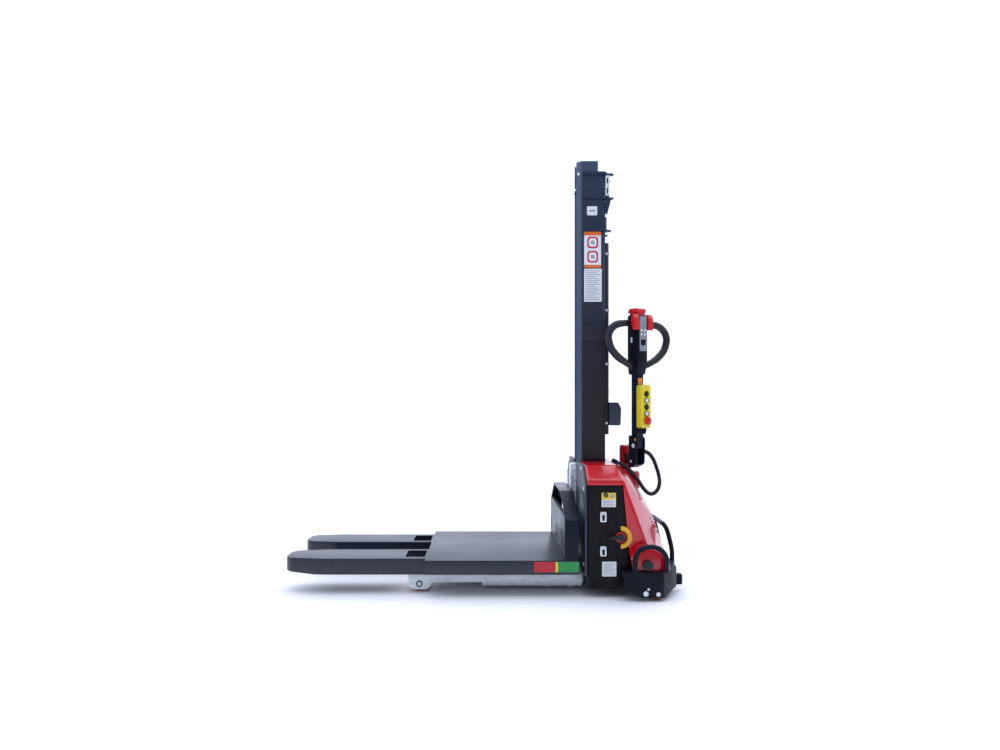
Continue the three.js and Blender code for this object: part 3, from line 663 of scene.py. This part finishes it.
def make_fork(side):
    sign = -1 if side == "near" else 1
    middle, half = 186.5 * sign, 98.5
    blade = prism("fork_" + side + "_blade", [
        (320.7, middle - half),
        (320.7, middle + half),
        (-690, middle + half, 150),
        (-840, middle + half - 24, 48),
        (-840, middle - half + 24, 48),
        (-690, middle - half, 150),
    ], "z", 80, 147, 10)
    wedge = prism("wedge", [(-845, 70), (-845, 90), (-700, 79)], "y", middle - 120, middle + 120)
    cut(blade, wedge)
    bevel(blade, 3.2 * MM, 4, 24)
    channel = block("channel", -690, 330, middle - half + 5, middle + half - 5, 70, 142)
    low, high = sorted((112 * sign, 251 * sign))
    opening = prism("opening", [
        (-338, low, 8),
        (-256, low, 8),
        (-256, high, 8),
        (-338, high, 8),
    ], "z", 135, 150)
    cut(blade, channel, opening)
    settle(dress(blade, "deck_paint"), "carriage", "black_steel", "fork_" + side)


STRIP_BLOCKS = [(195, 283, "label_red"), (283, 293, "label_yellow"), (293, 378, "label_green")]


def make_deck():
    stand_for("deck_plate", "carriage", "black_steel", "deck_paint", 2.0)
    for sign, side in ((-1, "near"), (1, "far")):
        low, high = sorted((sign * 345.15, sign * 345.75))
        strips = [
            dress(prism("strip", rounded_box(x0, x1, 104, 146, 2), "y", low, high), colour)
            for x0, x1, colour in STRIP_BLOCKS
        ]
        strip = join_into(*strips)
        strip.name = "deck_strip_" + side
        settle(strip, "carriage", "black_steel")


def make_carriage_panel():
    panel = prism("carriage_panel_slotted", [
        (-336.7, 151.6),
        (336.7, 151.6),
        (336.7, 306, 10),
        (302.7, 330, 10),
        (-302.7, 330, 10),
        (-336.7, 306, 10),
    ], "x", 321, 326)
    slots = [
        prism("slot", [(y - 8, 172, 7), (y + 8, 172, 7), (y + 8, 232, 7), (y - 8, 232, 7)], "x", 315, 330)
        for y in (-300, -272, -40, 40, 272, 300)
    ]
    cut(panel, *slots)
    bevel(panel, 0.8 * MM, 2)
    lip = block("lip", 321, 336, -296, 296, 326, 330.5)
    bevel(lip, 1.2 * MM, 2)
    join_into(panel, lip)
    settle(dress(panel, "slate_paint"), "carriage", "black_steel", "carriage_panel")


def make_carriage():
    for side in ("near", "far"):
        make_fork(side)
        stand_for("carriage_side_" + side, "carriage", "black_steel", "black_steel", 2.5)
    make_deck()
    make_carriage_panel()
    stand_for("carriage_top_bar", "carriage", "black_steel", "deck_paint", 1.5)
    trolley = refined("trolley", "zinc", 1.5)
    bolts = []
    for x, z in ((392, 490), (385, 395), (420, 350), (420, 300)):
        bolts.append(bolt((x, -24, z), (x, -30, z), 6))
        bolts.append(bolt((x, 24, z), (x, 30, z), 6))
    for y in (-52, 52):
        for z in (190, 260, 330):
            bolts.append(bolt((366, y, z), (360, y, z), 6))
    settle(join_into(trolley, *bolts), "carriage", "zinc", "trolley")


# ---------------------------------------------------------------- mast

LABEL_Y = -67.2  # near face of the fixed mast


def raised(name, x0, x1, z0, z1, colour, level=1, radius=0, face=LABEL_Y):
    """Thin printed block on a near face; a higher level lies over a lower one."""
    low = face - 0.25 - 0.2 * level
    return dress(prism(name, rounded_box(x0, x1, z0, z1, radius), "y", low, face), colour)


def text_lines(x0, x1, z_top, z_bottom, pitch, colour, face=LABEL_Y):
    """Plain bars that stand for lines of print."""
    bars = []
    z, k = z_top, 0
    while z > z_bottom:
        end = x1 - (0.06, 0.2, 0.0, 0.34, 0.1)[k % 5] * (x1 - x0)
        bars.append(raised("line", x0, end, z - pitch * 0.38, z, colour, 2, 0, face))
        z -= pitch
        k += 1
    return bars


def make_mast_labels():
    plate = raised("mast_plate_small", 447, 492, 1620, 1660, "label_white", 1, 3)
    settle(join_into(plate, raised("line", 455, 484, 1636, 1644, "label_grey", 2)), "chassis", "mast_paint")
    notice = raised("mast_notice", 434, 509, 1388, 1548, "label_white", 1, 3)
    blocks = [
        raised("head", 434, 509, 1531, 1548, "label_orange", 2, 3),
        raised("foot", 434, 509, 1388, 1401, "label_orange", 2, 3),
        *[raised("frame", 448, 496, z, z + 52, "label_red", 2, 14) for z in (1474, 1411)],
        *[raised("field", 455, 489, z + 7, z + 45, "label_white", 3, 10) for z in (1474, 1411)],
        *[raised("mark", 464, 480, z + 18, z + 34, "label_grey", 4, 3) for z in (1474, 1411)],
    ]
    settle(join_into(notice, *blocks), "chassis", "mast_paint")
    table = raised("mast_table", 434, 512, 1238, 1384, "label_white", 1, 3)
    settle(join_into(table, *text_lines(440, 506, 1376, 1246, 8.5, "label_grey")), "chassis", "mast_paint")


def make_mast():
    stand_for("mast_outer", "chassis", "mast_paint", "mast_paint", 1.5)
    stand_for("mast_inner", "inner_mast", "mast_paint", "inner_mast_sky_tinted_paint", 1.5)
    for node in ("mast_tie_top", "mast_tie_upper", "mast_tie_middle"):
        stand_for(node, "chassis", "black_steel", "mast_paint", 1.5)
    stand_for("mast_rear_cover", "chassis", "mast_paint", "mast_paint", 1.5)
    stand_for("harness_box", "chassis", "slate_paint", "slate_paint", 4, 4)
    bolts = [bolt((548, y, z), (556, y, z), 5, 4) for y in (-22, 22) for z in (1455, 1203, 963, 840)]
    bolts += [
        bolt((537, sign * 42, z), (537, sign * 50, z), 4, 4)
        for sign in (-1, 1)
        for z in (1455, 1203, 963, 700)
    ]
    mast_bolts = join_into(*bolts)
    mast_bolts.name = "mast_bolts"
    settle(mast_bolts, "chassis", "zinc")
    brackets = []
    for sign in (-1, 1):
        low, high = sorted((60.2 * sign, 63 * sign))
        flange = block("flange", 530, 547, low, high, 1709, 1799)
        cut(flange, *[
            prism("slot", rounded_box(535, 541, z, z + 26, 2.9), "y", low - 1, high + 1)
            for z in (1718, 1762)
        ])
        bevel(flange, 0.6 * MM, 2)
        brackets.append(dress(flange, "zinc"))
        # Painted shade: black blocks set into the slots stand for the dark inside of the open slots.
        for z in (1718, 1762):
            pocket = block("pocket", 534, 542, low * 0.99, high * 0.99, z - 1, z + 27)
            brackets.append(dress(pocket, "black_plastic"))
    bracket = join_into(*brackets)
    bracket.name = "mast_rear_bracket"
    settle(bracket, "chassis", "zinc")
    stop_bolt = join_into(
        bolt((403, -31, 1742), (395, -31, 1742), 4, 5),
        bolt((403, 31, 1742), (395, 31, 1742), 4, 5),
        bolt((412, -47, 1808), (408, -53, 1808), 4, 3),
    )
    stop_bolt.name = "inner_mast_bolts"
    settle(stop_bolt, "inner_mast", "zinc")
    make_mast_labels()


# ---------------------------------------------------------------- legs and wheels


def make_wheel(name, body, replaced, place, radius, half_width, bore, hub, tyre, segments=56):
    """Moulded tread on a metal hub with a recessed disc and a bearing ring."""
    x, y, z = place
    near, far = (x, y, z), (x, y - 1, z)
    edge = radius * 0.07
    tread = turned(name, [
        (hub, -half_width + 1),
        (radius - edge * 1.6, -half_width + 1),
        (radius - edge * 0.5, -half_width + 1 + edge * 0.4),
        (radius, -half_width + 1 + edge * 1.4),
        (radius, half_width - 1 - edge * 1.4),
        (radius - edge * 0.5, half_width - 1 - edge * 0.4),
        (radius - edge * 1.6, half_width - 1),
        (hub, half_width - 1),
        (hub, -half_width + 1),
    ], near, far, segments)
    dress(tread, tyre)
    disc = half_width - 4
    core = turned("core", [
        (bore, -half_width),
        (bore + 4, -half_width),
        (bore + 5, -half_width + 1),
        (bore + 5, -disc),
        (hub - 3, -disc),
        (hub - 2, -half_width + 1),
        (hub + 0.3, -half_width + 0.6),
        (hub + 0.3, half_width - 0.6),
        (hub - 2, half_width - 1),
        (hub - 3, disc),
        (bore + 5, disc),
        (bore + 5, half_width - 1),
        (bore + 4, half_width),
        (bore, half_width),
        (bore, -half_width),
    ], near, far, segments)
    dress(core, "bare_steel")
    settle(join_into(tread, core), body, "urethane", replaced)


def make_leg(side, sign):
    """Leg with the ends of its wheel axle shown on both cheeks."""
    leg = refined("leg_" + side, "zinc", 1.2)
    ends = []
    for face, out in ((251 * sign, sign), (112 * sign, -sign)):
        near, far = (-279, face, 35), (-279, face + out, 35)
        ring = turned("ring", [(9, -1), (14, -1), (14, 0.6), (13, 1.2), (9, 1.2), (9, -1)], near, far, 40)
        pin = turned("pin", [(9, -1), (9, 2), (7.5, 3), (0, 3)], near, far, 32)
        ends += [dress(ring, "black_plastic"), dress(pin, "bare_steel")]
    settle(join_into(leg, *ends), "leg_" + side, "zinc", "leg_" + side)


def make_running_gear():
    for sign, side in ((-1, "near"), (1, "far")):
        make_leg(side, sign)
        stand_for("caster_arm_" + side, "caster_arm_" + side, "bare_steel", "zinc", 1.2)
        make_wheel("load_wheel_fine_" + side, "load_wheel_" + side, "load_wheel_" + side,
                   (-279, 181.5 * sign, 35), 35, 60, 10.4, 22, "urethane")
        make_wheel("caster_wheel_fine_" + side, "caster_wheel_" + side, "caster_wheel_" + side,
                   (687, 361 * sign, 30), 30, 19, 6.4, 18, "urethane")


# ---------------------------------------------------------------- chassis


def make_base():
    base = refined("base_housing", "black_plastic", 4, 4)
    settle(base, "chassis", "black_plastic", "base_housing")
    trims = []
    for sign in (-1, 1):
        low, high = sorted((217 * sign, 243 * sign))
        panel = prism("panel", [(low, 33, 3), (high, 33, 3), (high, 70, 3), (low, 70, 3)], "x", 821, 823.5)
        trims.append(dress(panel, "grey_plastic"))
        cap = turned("cap", [(8, 0), (8, 2.5), (6, 3.5), (0, 3.5)],
                     (823, 230 * sign, 51.5), (824, 230 * sign, 51.5), 28)
        trims.append(dress(cap, "black_plastic"))
        for x, z, size in ((637, 32, 7), (687, 30, 6), (648, 50, 3.5)):
            trims.append(bolt((x, 409.5 * sign, z), (x, 416 * sign, z), size, 4))
        knob = turned("knob", [(9, 0), (9, 5), (20, 6), (22, 8), (22, 19), (20, 21), (0, 21)],
                      (648, 384 * sign, 142), (648, 385 * sign, 142), 10)
        bevel(knob, 1.2 * MM, 2)
        trims.append(dress(knob, "soft_grip"))
    trim = join_into(*trims)
    trim.name = "base_trim"
    settle(trim, "chassis", "black_plastic")


HOOP_ARC = [
    (659 - 63 * math.cos(math.pi * k / 14), 164 + 53 * math.sin(math.pi * k / 14))
    for k in range(15)
]
REAR_HANDLE_SIDE = [
    (808, 60),
    (808, 105),
    (807, 150),
    (797, 200),
    (786, 240),
]


def make_hoops():
    for sign, side in ((-1, "near"), (1, "far")):
        y = 398 * sign
        arc = [(x, y, z) for x, z in HOOP_ARC]
        line = [(596, y, 117), (596, y, 140), *arc, (722, y, 140), (722, y, 117)]
        hoop = sweep("arch_hoop_fine_" + side, in_frame(line), 10 * MM, 90, 24)
        feet = [
            dress(turned("foot", [(17, 0), (17, 2.5), (15, 4), (11, 5), (11, 0)],
                         (x, y, 116.3), (x, y, 117.3)), "black_steel")
            for x in (596, 722)
        ]
        dress(hoop, "black_steel", 50)
        settle(join_into(hoop, *feet), "chassis", "black_steel", "arch_hoop_" + side)


def make_rear_handle():
    near_side = [(x, -130, z) for x, z in REAR_HANDLE_SIDE[:4]]
    line = [
        *near_side,
        (786, -127, 240),
        (777, -114, 259),
        (775, -90, 262),
        (775, 0, 262),
    ]
    line += [(x, -y, z) for x, y, z in reversed(line[:-1])]
    handle = sweep("rear_handle_fine", in_frame(line), 10 * MM, 150, 24)
    dress(handle, "black_steel", 50)
    settle(handle, "chassis", "black_steel", "rear_handle")


def make_cabinet(side, sign):
    low, high = sorted((256.3 * sign, 345 * sign))
    cabinet = prism("side_cabinet_fine_" + side, [
        (415, 37, 10),
        (596, 37, 14),
        (556, 456, 18),
        (415, 456, 10),
    ], "y", low, high, 6)
    bevel(cabinet, 6 * MM, 4)
    face_low, face_high = sorted((343.2 * sign, 352 * sign))
    grooves = [
        block("groove", 410, 600, face_low, face_high, 436, 438.6),
        block("groove", 530, 532.6, face_low, face_high, 30, 437),
        block("groove", 462, 463.6, face_low, face_high, 150, 400),
        block("groove", 489.4, 491, face_low, face_high, 150, 400),
        block("groove", 410, 600, face_low, face_high, 156, 158),
    ]
    cut(cabinet, *grooves)
    settle(dress(cabinet, "cabinet_plastic"), "chassis", "cabinet_plastic", "side_cabinet_" + side)


def side_slab(name, corners, level=1, colour="label_white", face=-345.0, thick=0.3):
    low = face - thick * level
    return dress(prism(name, corners, "y", low, face), colour)


def make_cabinet_labels():
    plate = side_slab("cabinet_label", rounded_box(470, 528, 369, 427, 3), 1, "label_white")
    marks = [
        side_slab("field", rounded_box(470, 528, 399, 427, 3), 2, "label_yellow"),
        side_slab("mark", rounded_box(506, 522, 405, 421, 7.5), 3, "label_grey"),
        *[side_slab("line", rounded_box(475, 523 - k % 2 * 6, z, z + 2.5, 0), 2, "label_grey")
          for k, z in enumerate((391, 385, 379, 373))],
    ]
    settle(join_into(plate, *marks), "chassis", "cabinet_plastic")
    plate = side_slab("cabinet_nameplate", rounded_box(472, 530, 87, 147, 3), 1, "bare_steel")
    lines = [side_slab("line", rounded_box(477, 525 - k % 3 * 7, z, z + 2.5, 0), 2, "label_grey")
             for k, z in enumerate((137, 130, 123, 116, 109, 102, 95))]
    settle(join_into(plate, *lines), "chassis", "cabinet_plastic")


def make_disconnect():
    ring = turned("disconnect_ring", [(27, 0), (45, 0), (46, 2), (45, 5), (28, 5), (27, 4), (27, 0)],
                  (548, -345, 246), (548, -346, 246), 56)
    cut(ring, prism("half", [(490, 190), (548, 190), (548, 300), (490, 300)], "y", -360, -340))
    dress(ring, "amber_plastic")
    centre = turned("centre", [(21, 0), (22, 1), (22, 4.5), (20, 6), (0, 6)],
                    (548, -345, 246), (548, -346, 246), 48)
    dress(centre, "red_plastic")
    settle(join_into(ring, centre), "chassis", "red_plastic")
    stand_for("disconnect_knob", "disconnect_knob", "black_plastic", "soft_grip", 1.5, 3)
    lock = turned("key_lock_fine", [(9, 0), (9, 5.7), (8, 6.7), (6, 6.7), (6, 5.5), (0, 5.5)],
                  (487, -345.3, 418), (487, -346.3, 418), 32)
    dress(lock, "soft_grip")
    slot = dress(block("slot", 486.2, 487.8, -351.4, -350.6, 413.5, 422.5), "bare_steel")
    settle(join_into(lock, slot), "key_lock", "black_plastic", "key_lock")
    for node, z0, z1 in (("latch_upper", 309, 350), ("latch_lower", 170, 210)):
        latch = refined(node, "zinc", 1.4)
        hook = prism("hook", rounded_box(471, 482, z0 + 5, z1 - 12, 3), "y", -353.8, -353)
        catch = prism("catch", rounded_box(469, 484, z1 - 9, z1 - 4, 2), "y", -354.6, -353)
        details = [dress(hook, "cabinet_plastic"), dress(catch, "bare_steel")]
        settle(join_into(latch, *details), node, "zinc", node)


HOOD_REAR = [
    (556, 532),
    (575, 520),
    (606, 494),
    (632, 465),
    (664, 412),
    (690, 365),
    (728, 290),
    (752, 215),
    (768, 165),
    (783, 117),
]


def hood_outer(inset):
    """Convex hood volume, drawn in from its outer surface by an inset."""
    contour, _ = spline([(x, 0, z) for x, z in HOOD_REAR], 28)
    front = 412.3 - (5 if inset else 0)
    corners = [
        (front, 345 - inset, 117),
        (front, 345 - inset, 478 - inset),
        (front, 250 - inset, 532 - inset),
        (545 - inset, 250 - inset, 532 - inset),
        (560 - inset, 345 - inset, 478 - inset),
        (692 - inset, 345 - inset, 117),
        *[(p.x - inset, 130 - inset, max(117, p.z - inset)) for p in contour],
    ]
    bm = bmesh.new()
    for x, y, z in corners:
        for sign in (-1, 1):
            bm.verts.new(Vector((x + SHIFT * 1000, y * sign, z)) * MM)
    hull = bmesh.ops.convex_hull(bm, input=bm.verts)
    spare = [part for part in hull["geom_interior"] if isinstance(part, bmesh.types.BMVert)]
    bmesh.ops.delete(bm, geom=spare, context="VERTS")
    bmesh.ops.dissolve_limit(bm, angle_limit=math.radians(0.5), verts=bm.verts, edges=bm.edges)
    return object_from_bmesh("hood_fine", bm)


def surface_groove(depth, *bounds):
    """Block that only reaches a set depth under the hood's surface, to cut a groove or a vent."""
    groove = block("groove", *bounds)
    cut(groove, hood_outer(depth))
    return groove


def caster_dome(sign, inset):
    radius = 88 - inset
    dome = turned("dome", [
        (0, 0),
        (radius, 0),
        (radius, 120 - inset),
        (radius - 3, 130 - inset),
        (radius - 10, 137 - inset),
        (radius - 18, 140 - inset),
        (0, 140 - inset),
    ], (656, 240 * sign, 122), (656, 241 * sign, 122), 72)
    cut(dome, block("below", 500, 800, -430, 430, -20, 117 - inset))
    return dome


def make_hood():
    hood = hood_outer(0)
    bevel(hood, 9 * MM, 5, 24)
    for sign in (-1, 1):
        join = hood.modifiers.new("dome", "BOOLEAN")
        join.operation = "UNION"
        join.solver = "EXACT"
        join.object = caster_dome(sign, 0)
        dome = join.object
        apply_modifiers(hood)
        bpy.data.objects.remove(dome)
    cutters = [hood_outer(7), caster_dome(-1, 6), caster_dome(1, 6)]
    for sign in (-1, 1):
        low, high = sorted((254 * sign, 400 * sign))
        cutters.append(prism("bay", [(380, 30), (597.5, 30), (557.5, 457.5), (380, 457.5)], "y", low, high))
    cutters.append(block("mast_slot", 380, 533, -72.6, 72.6, 90, 560))
    cutters.append(turned("turret_hole", [(0, 0), (51, 0), (51, 220), (0, 220)],
                          (646, 0, 380), (646, 0, 381), 64))
    cutters += [surface_groove(4, 600, 820, -190, 190, z, z + 7) for z in (232, 248, 264, 280, 296)]
    for sign in (-1, 1):
        low, high = sorted((96 * sign, 98.5 * sign))
        cutters.append(surface_groove(1.6, 400, 548, low, high, 500, 560))
    cutters.append(surface_groove(1.6, 545, 547.5, -400, 400, 462, 560))
    cut(hood, *cutters)
    dress(hood, "red_hood", 38)
    gland = turned("gland", [(13, -3), (13, 0), (15, 2), (15, 9), (13.5, 11), (12, 22), (0, 22)],
                   (560, -60, 530.3), (584, -60, 524.4), 32)
    settle(join_into(hood, dress(gland, "black_plastic")), "chassis", "red_hood", "hood")


def make_chassis():
    frame_piece = refined("chassis_frame", "slate_paint", 1.5)
    bolts = [bolt((403, sign * y, z), (396, sign * y, z), 6, 4)
             for sign in (-1, 1) for y, z in ((225, 515), (310, 440), (310, 130))]
    settle(join_into(frame_piece, *bolts), "chassis", "slate_paint", "chassis_frame")
    make_base()
    make_hoops()
    make_rear_handle()
    for sign, side in ((-1, "near"), (1, "far")):
        make_cabinet(side, sign)
    make_cabinet_labels()
    make_disconnect()
    make_hood()


# ---------------------------------------------------------------- steering and tiller


def to_tiller(obj):
    """Turns a piece drawn on the steering axis, x towards the operator, into its place."""
    turn = Matrix.Rotation(STEER_TURN, 4, "Z")
    obj.data.transform(Matrix.Translation((STEER_X, 0, 0)) @ turn @ Matrix.Translation((-SHIFT, 0, 0)))
    return obj


def make_steering():
    stand_for("steer_turret", "steer", "red_paint", "red_paint", 3, 4)
    bracket = refined("tiller_bracket", "black_steel", 1.2)
    details = [
        bolt((55, -24, 600), (55, -30, 600), 7, 4),
        bolt((55, 24, 600), (55, 30, 600), 7, 4),
        bolt((40, -24, 530), (40, -30, 530), 4, 3),
        bolt((40, 24, 530), (40, 30, 530), 4, 3),
    ]
    mark = dress(block("mark", 62, 72, -24.6, -24, 622, 634), "orange_plastic")
    pieces = [to_tiller(piece) for piece in (*details, mark)]
    settle(join_into(bracket, *pieces), "steer", "black_steel", "tiller_bracket")


def dress_node(node, material):
    """A kept CAD node only takes a better material."""
    mesh = NODES[node].data
    mesh.materials.clear()
    mesh.materials.append(MATERIALS[material])


def make_loop(sign):
    line = [
        (50, 18, 1143),
        (50, 40, 1144),
        (60, 80, 1141),
        (60, 123, 1133),
        (60, 153, 1112),
        (60, 167, 1085),
        (60, 166, 1062),
        (60, 151, 1026),
        (60, 113, 991),
        (60, 64, 965),
        (50, 18, 947),
    ]

    def width(along):
        grip = 0.5 + 0.5 * math.tanh((along - 0.2) * 40) * math.tanh((0.8 - along) * 40)
        return (14.4 + 1.8 * grip) * MM

    loop = sweep("loop", in_frame([(x, y * sign, z) for x, y, z in line]), width, 96, 24)
    return dress(loop, "soft_grip", 50)


def button_pockets():
    """Square holes in the head's front for its four buttons."""
    return [
        block("pocket", 88, 96, y - 5.5, y + 5.5, z - 5.5, z + 5.5)
        for y in (-10, 10)
        for z in (1092, 1110)
    ]


def make_head():
    head = prism("tiller_head_fine", [
        (25, 915.3, 6),
        (79, 915.3, 10),
        (93, 975, 20),
        (93, 1168, 12),
        (79, 1182, 8),
        (17, 1182, 10),
        (17, 955, 20),
    ], "y", -26, 26, 6)
    bevel(head, 5 * MM, 4)
    pockets = button_pockets()
    cap_pocket = block("pocket", 26, 84, -19.5, 19.5, 1164, 1184)
    seam = block("seam", 15, 95, -30, 30, 1006, 1007.4)
    core = block("core", 18.2, 91.8, -24.8, 24.8, 1000, 1012)
    cut(seam, core)
    cut(head, *pockets, cap_pocket, seam)
    dress(head, "black_plastic")
    plate = prism("plate", [
        (-20, 1019, 6),
        (20, 1019, 6),
        (20, 1172, 6),
        (-20, 1172, 6),
    ], "x", 92.8, 94)
    cut(plate, *button_pockets())
    bevel(plate, 0.4 * MM, 2)
    dress(plate, "grey_plastic")
    gauge = dress(prism("gauge", rounded_box(-13, 13, 1044, 1070, 3), "x", 93.8, 94.6), "black_plastic")
    mark = dress(prism("mark", rounded_box(40, 52, 1058, 1082, 2), "y", -26.5, -26), "label_white")
    loops = [make_loop(-1), make_loop(1)]
    head = join_into(head, plate, gauge, mark, *loops)
    settle(to_tiller(head), "tiller", "black_plastic", "tiller_head")


def make_tiller_controls():
    stand_for("throttle", "throttle", "red_plastic", "red_plastic", 3, 4)
    stand_for("belly_button", "belly_button", "red_plastic", "red_plastic", 3, 4)
    for row in (1, 2):
        for side in ("left", "right"):
            node = "head_button_" + str(row) + "_" + side
            stand_for(node, node, "white_plastic", "white_plastic", 0.8)


def make_arm():
    arm = refined("tiller_arm", "black_steel", 3, 4)
    mark = to_tiller(dress(block("mark", 73, 73.6, -12, 12, 874, 900), "orange_plastic"))
    settle(join_into(arm, mark), "tiller", "black_steel", "tiller_arm")


def make_pendant():
    body = prism("pendant_body_fine", [
        (-26.5, 680, 8),
        (26.5, 680, 8),
        (26.5, 871, 12),
        (-26.5, 871, 12),
    ], "x", 78, 115, 6)
    bevel(body, 3.5 * MM, 4)
    cutters = [turned("pocket", [(0, 0), (9.5, 0), (9.5, 8), (0, 8)], (109, 0, z), (110, 0, z), 40)
               for z in (830, 801, 772, 743)]
    cutters.append(turned("stop_bore", [(0, 0), (6.5, 0), (6.5, 16), (0, 16)],
                          (101, 0, 712), (102, 0, 712), 32))
    seam = block("seam", 92, 93.2, -40, 40, 670, 880)
    cut(seam, block("core", 90, 96, -25.3, 25.3, 681.2, 869.8))
    cut(body, *cutters, seam)
    dress(body, "yellow_plastic")
    rings = [
        dress(turned("ring", [(9.6, 0), (13, 0), (13, 1), (11.5, 1.8), (9.6, 1.8), (9.6, 0)],
                     (115, 0, z), (116, 0, z), 40), "black_plastic")
        for z in (830, 801, 772, 743)
    ]
    gland = turned("gland", [
        (0, -26),
        (9, -26),
        (10.5, -24),
        (10.5, -14),
        (13, -13),
        (13, -2),
        (11, 0),
        (11, 6),
        (0, 6),
    ], (96, 0, 680), (96, 0, 681), 24)
    dress(gland, "black_plastic")
    screws = [
        dress(turned("screw", [(3.2, 0), (3.2, 0.8), (2.4, 1.4), (0, 1.4)],
                     (115, y, z), (116, y, z), 20), "zinc")
        for y in (-20, 20) for z in (688, 862)
    ]
    settle(to_tiller(join_into(body, *rings, gland, *screws)), "tiller", "yellow_plastic", "pendant_body")
    stand_for("pendant_holder", "tiller", "black_plastic", "black_plastic", 2.5)
    for row, z in enumerate((830, 801, 772, 743), 1):
        node = "pendant_button_" + str(row)
        colour = "white_plastic" if row % 2 == 0 else "soft_grip"
        button = turned(node + "_fine", [(9, 0), (9, 4.8), (8, 5.7), (5, 6.1), (0, 6.3)],
                        (112.5, 0, z), (113.5, 0, z), 40)
        dress(button, colour)
        settle(to_tiller(button), node, "white_plastic" if row % 2 == 0 else "black_plastic", node)
    stop = turned("emergency_stop_fine", [
        (6, -8),
        (6, 5.3),
        (14, 5.3),
        (17, 6.6),
        (17.5, 8.5),
        (17.5, 11),
        (16, 14),
        (11, 16.4),
        (0, 17),
    ], (115, 0, 712), (116, 0, 712), 56)
    dress(stop, "red_plastic")
    settle(to_tiller(stop), "emergency_stop", "red_plastic", "emergency_stop")


def dress_kept_nodes():
    kept = {
        "hydraulic_unit": "bare_steel",
        "lift_cylinder": "bare_steel",
        "lift_rod": "bare_steel",
        "chain_pulley": "bare_steel",
        "drive_wheel": "tyre",
        "drive_unit": "bare_steel",
        "battery": "grey_plastic",
    }
    for node, material in kept.items():
        dress_node(node, material)


# ---------------------------------------------------------------- whole machine

make_camera()
make_studio()
make_conduit()
make_carriage()
make_mast()
make_running_gear()
make_chassis()
make_steering()
make_arm()
make_head()
make_tiller_controls()
make_pendant()
dress_kept_nodes()
